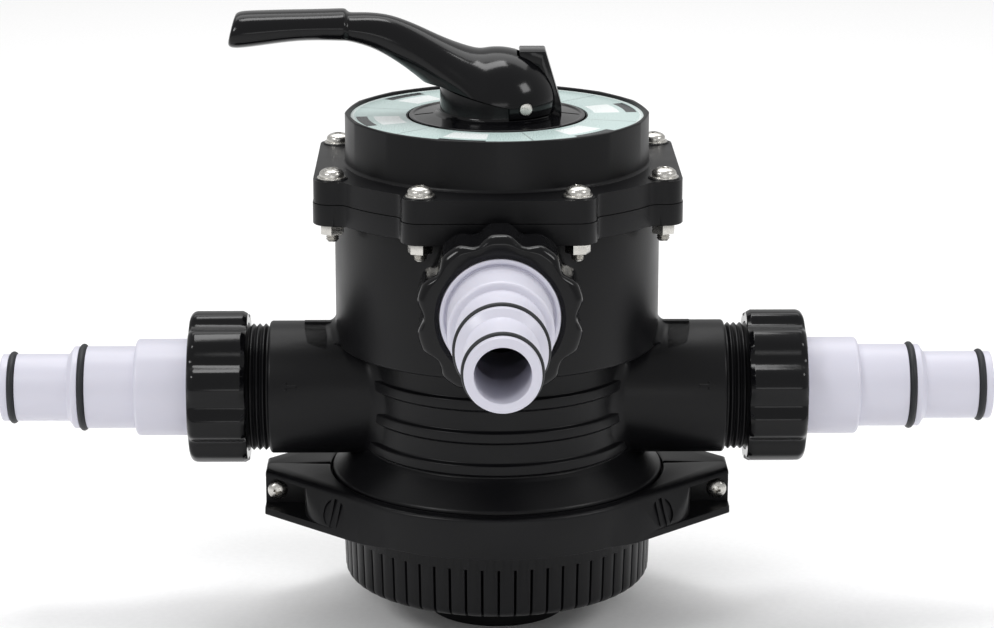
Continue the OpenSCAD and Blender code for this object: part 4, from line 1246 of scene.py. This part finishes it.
class VALVE_OT_stage(bpy.types.Operator):
    """Make the pale floor, the soft lights and the camera"""
    bl_idname = "valve.stage"
    bl_label = "Studio"

    def execute(self, context):
        scene = context.scene
        bm = bmesh.new()
        bmesh.ops.create_grid(bm, x_segments=1, y_segments=1, size=6000)
        floor_plane = mesh_object(bm, "studio_floor", recalc=False)
        material, tree = new_material("seamless paper, white")
        paper = moulded_grain(tree, 3, 2.0)
        tone = tinted(tree, paper, linear("#f6f6f6"), 1.03)
        shader = add_node(tree, "ShaderNodeBsdfPrincipled", {"Roughness": 0.9},
                          {"Base Color": tone.outputs["Color"]})
        surface(tree, shader)
        floor_plane.data.materials.append(material)
        world = bpy.data.worlds.new("studio")
        world.use_nodes = True
        world.node_tree.nodes["Background"].inputs["Color"].default_value = (1, 1, 1, 1)
        world.node_tree.nodes["Background"].inputs["Strength"].default_value = 0.56
        scene.world = world
        scene.view_settings.view_transform = "Standard"
        aim = (0, 0, 0.15)
        soft_light("key soft box, left", (-1.15, -0.95, 1.25), aim, (0.5, 0.45), 8.5)
        soft_light("fill soft box, right", (1.25, -0.6, 1.15), aim, (0.45, 0.5), 6)
        soft_light("top soft box", (-0.1, 0.25, 1.6), aim, (0.8, 0.35), 7.5)
        soft_light("low front card", (0.2, -2.3, 0.3), aim, (1.2, 0.3), 2.5)
        soft_light("backdrop wash", (0, 1.4, 2.2), (0, 1.4, 0), (3, 1.4), 26)
        self.camera(scene)
        return {"FINISHED"}

    def camera(self, scene):
        data = bpy.data.cameras.new("product camera")
        data.sensor_width = 36
        data.lens = 111.5
        data.clip_end = 30
        eye = Vector((-0.016, -1.4088, 0.5199))
        pitch = radians(14.9)
        camera = bpy.data.objects.new("product camera", data)
        camera.location = eye
        camera.rotation_euler = (pi / 2 - pitch, 0, -atan2(0.016, 1.4088))
        scene.collection.objects.link(camera)
        scene.camera = camera


# ---------------------------------------------------------------- panel and main

class VALVE_PT_sidebar(bpy.types.Panel):
    """Lists the valve's pieces in the sidebar"""
    bl_idname = "VALVE_PT_sidebar"
    bl_label = "Multiport Valve"
    bl_space_type = "VIEW_3D"
    bl_region_type = "UI"
    bl_category = "Multiport Valve"

    def draw(self, context):
        for operator in OPERATORS:
            self.layout.operator(operator.bl_idname)
        for group in GROUPS:
            section = self.layout.box()
            for key in getattr(context.scene, group).__annotations__:
                section.prop(getattr(context.scene, group), key)


OPERATORS = (VALVE_OT_body, VALVE_OT_cover, VALVE_OT_collar, VALVE_OT_lever, VALVE_OT_unions,
             VALVE_OT_hose_tails, VALVE_OT_clamp, VALVE_OT_diffuser, VALVE_OT_fasteners,
             VALVE_OT_inner_finishes, VALVE_OT_stage)


def register():
    for cls in (*GROUPS.values(), *OPERATORS, VALVE_PT_sidebar):
        bpy.utils.register_class(cls)
    for name, group in GROUPS.items():
        setattr(bpy.types.Scene, name, PointerProperty(type=group))


def unregister():
    for name in GROUPS:
        delattr(bpy.types.Scene, name)
    for cls in reversed((*GROUPS.values(), *OPERATORS, VALVE_PT_sidebar)):
        bpy.utils.unregister_class(cls)


def main():
    register()
    for operator in OPERATORS:
        family, name = operator.bl_idname.split(".")
        getattr(getattr(bpy.ops, family), name)()


if __name__ == "__main__":
    main()
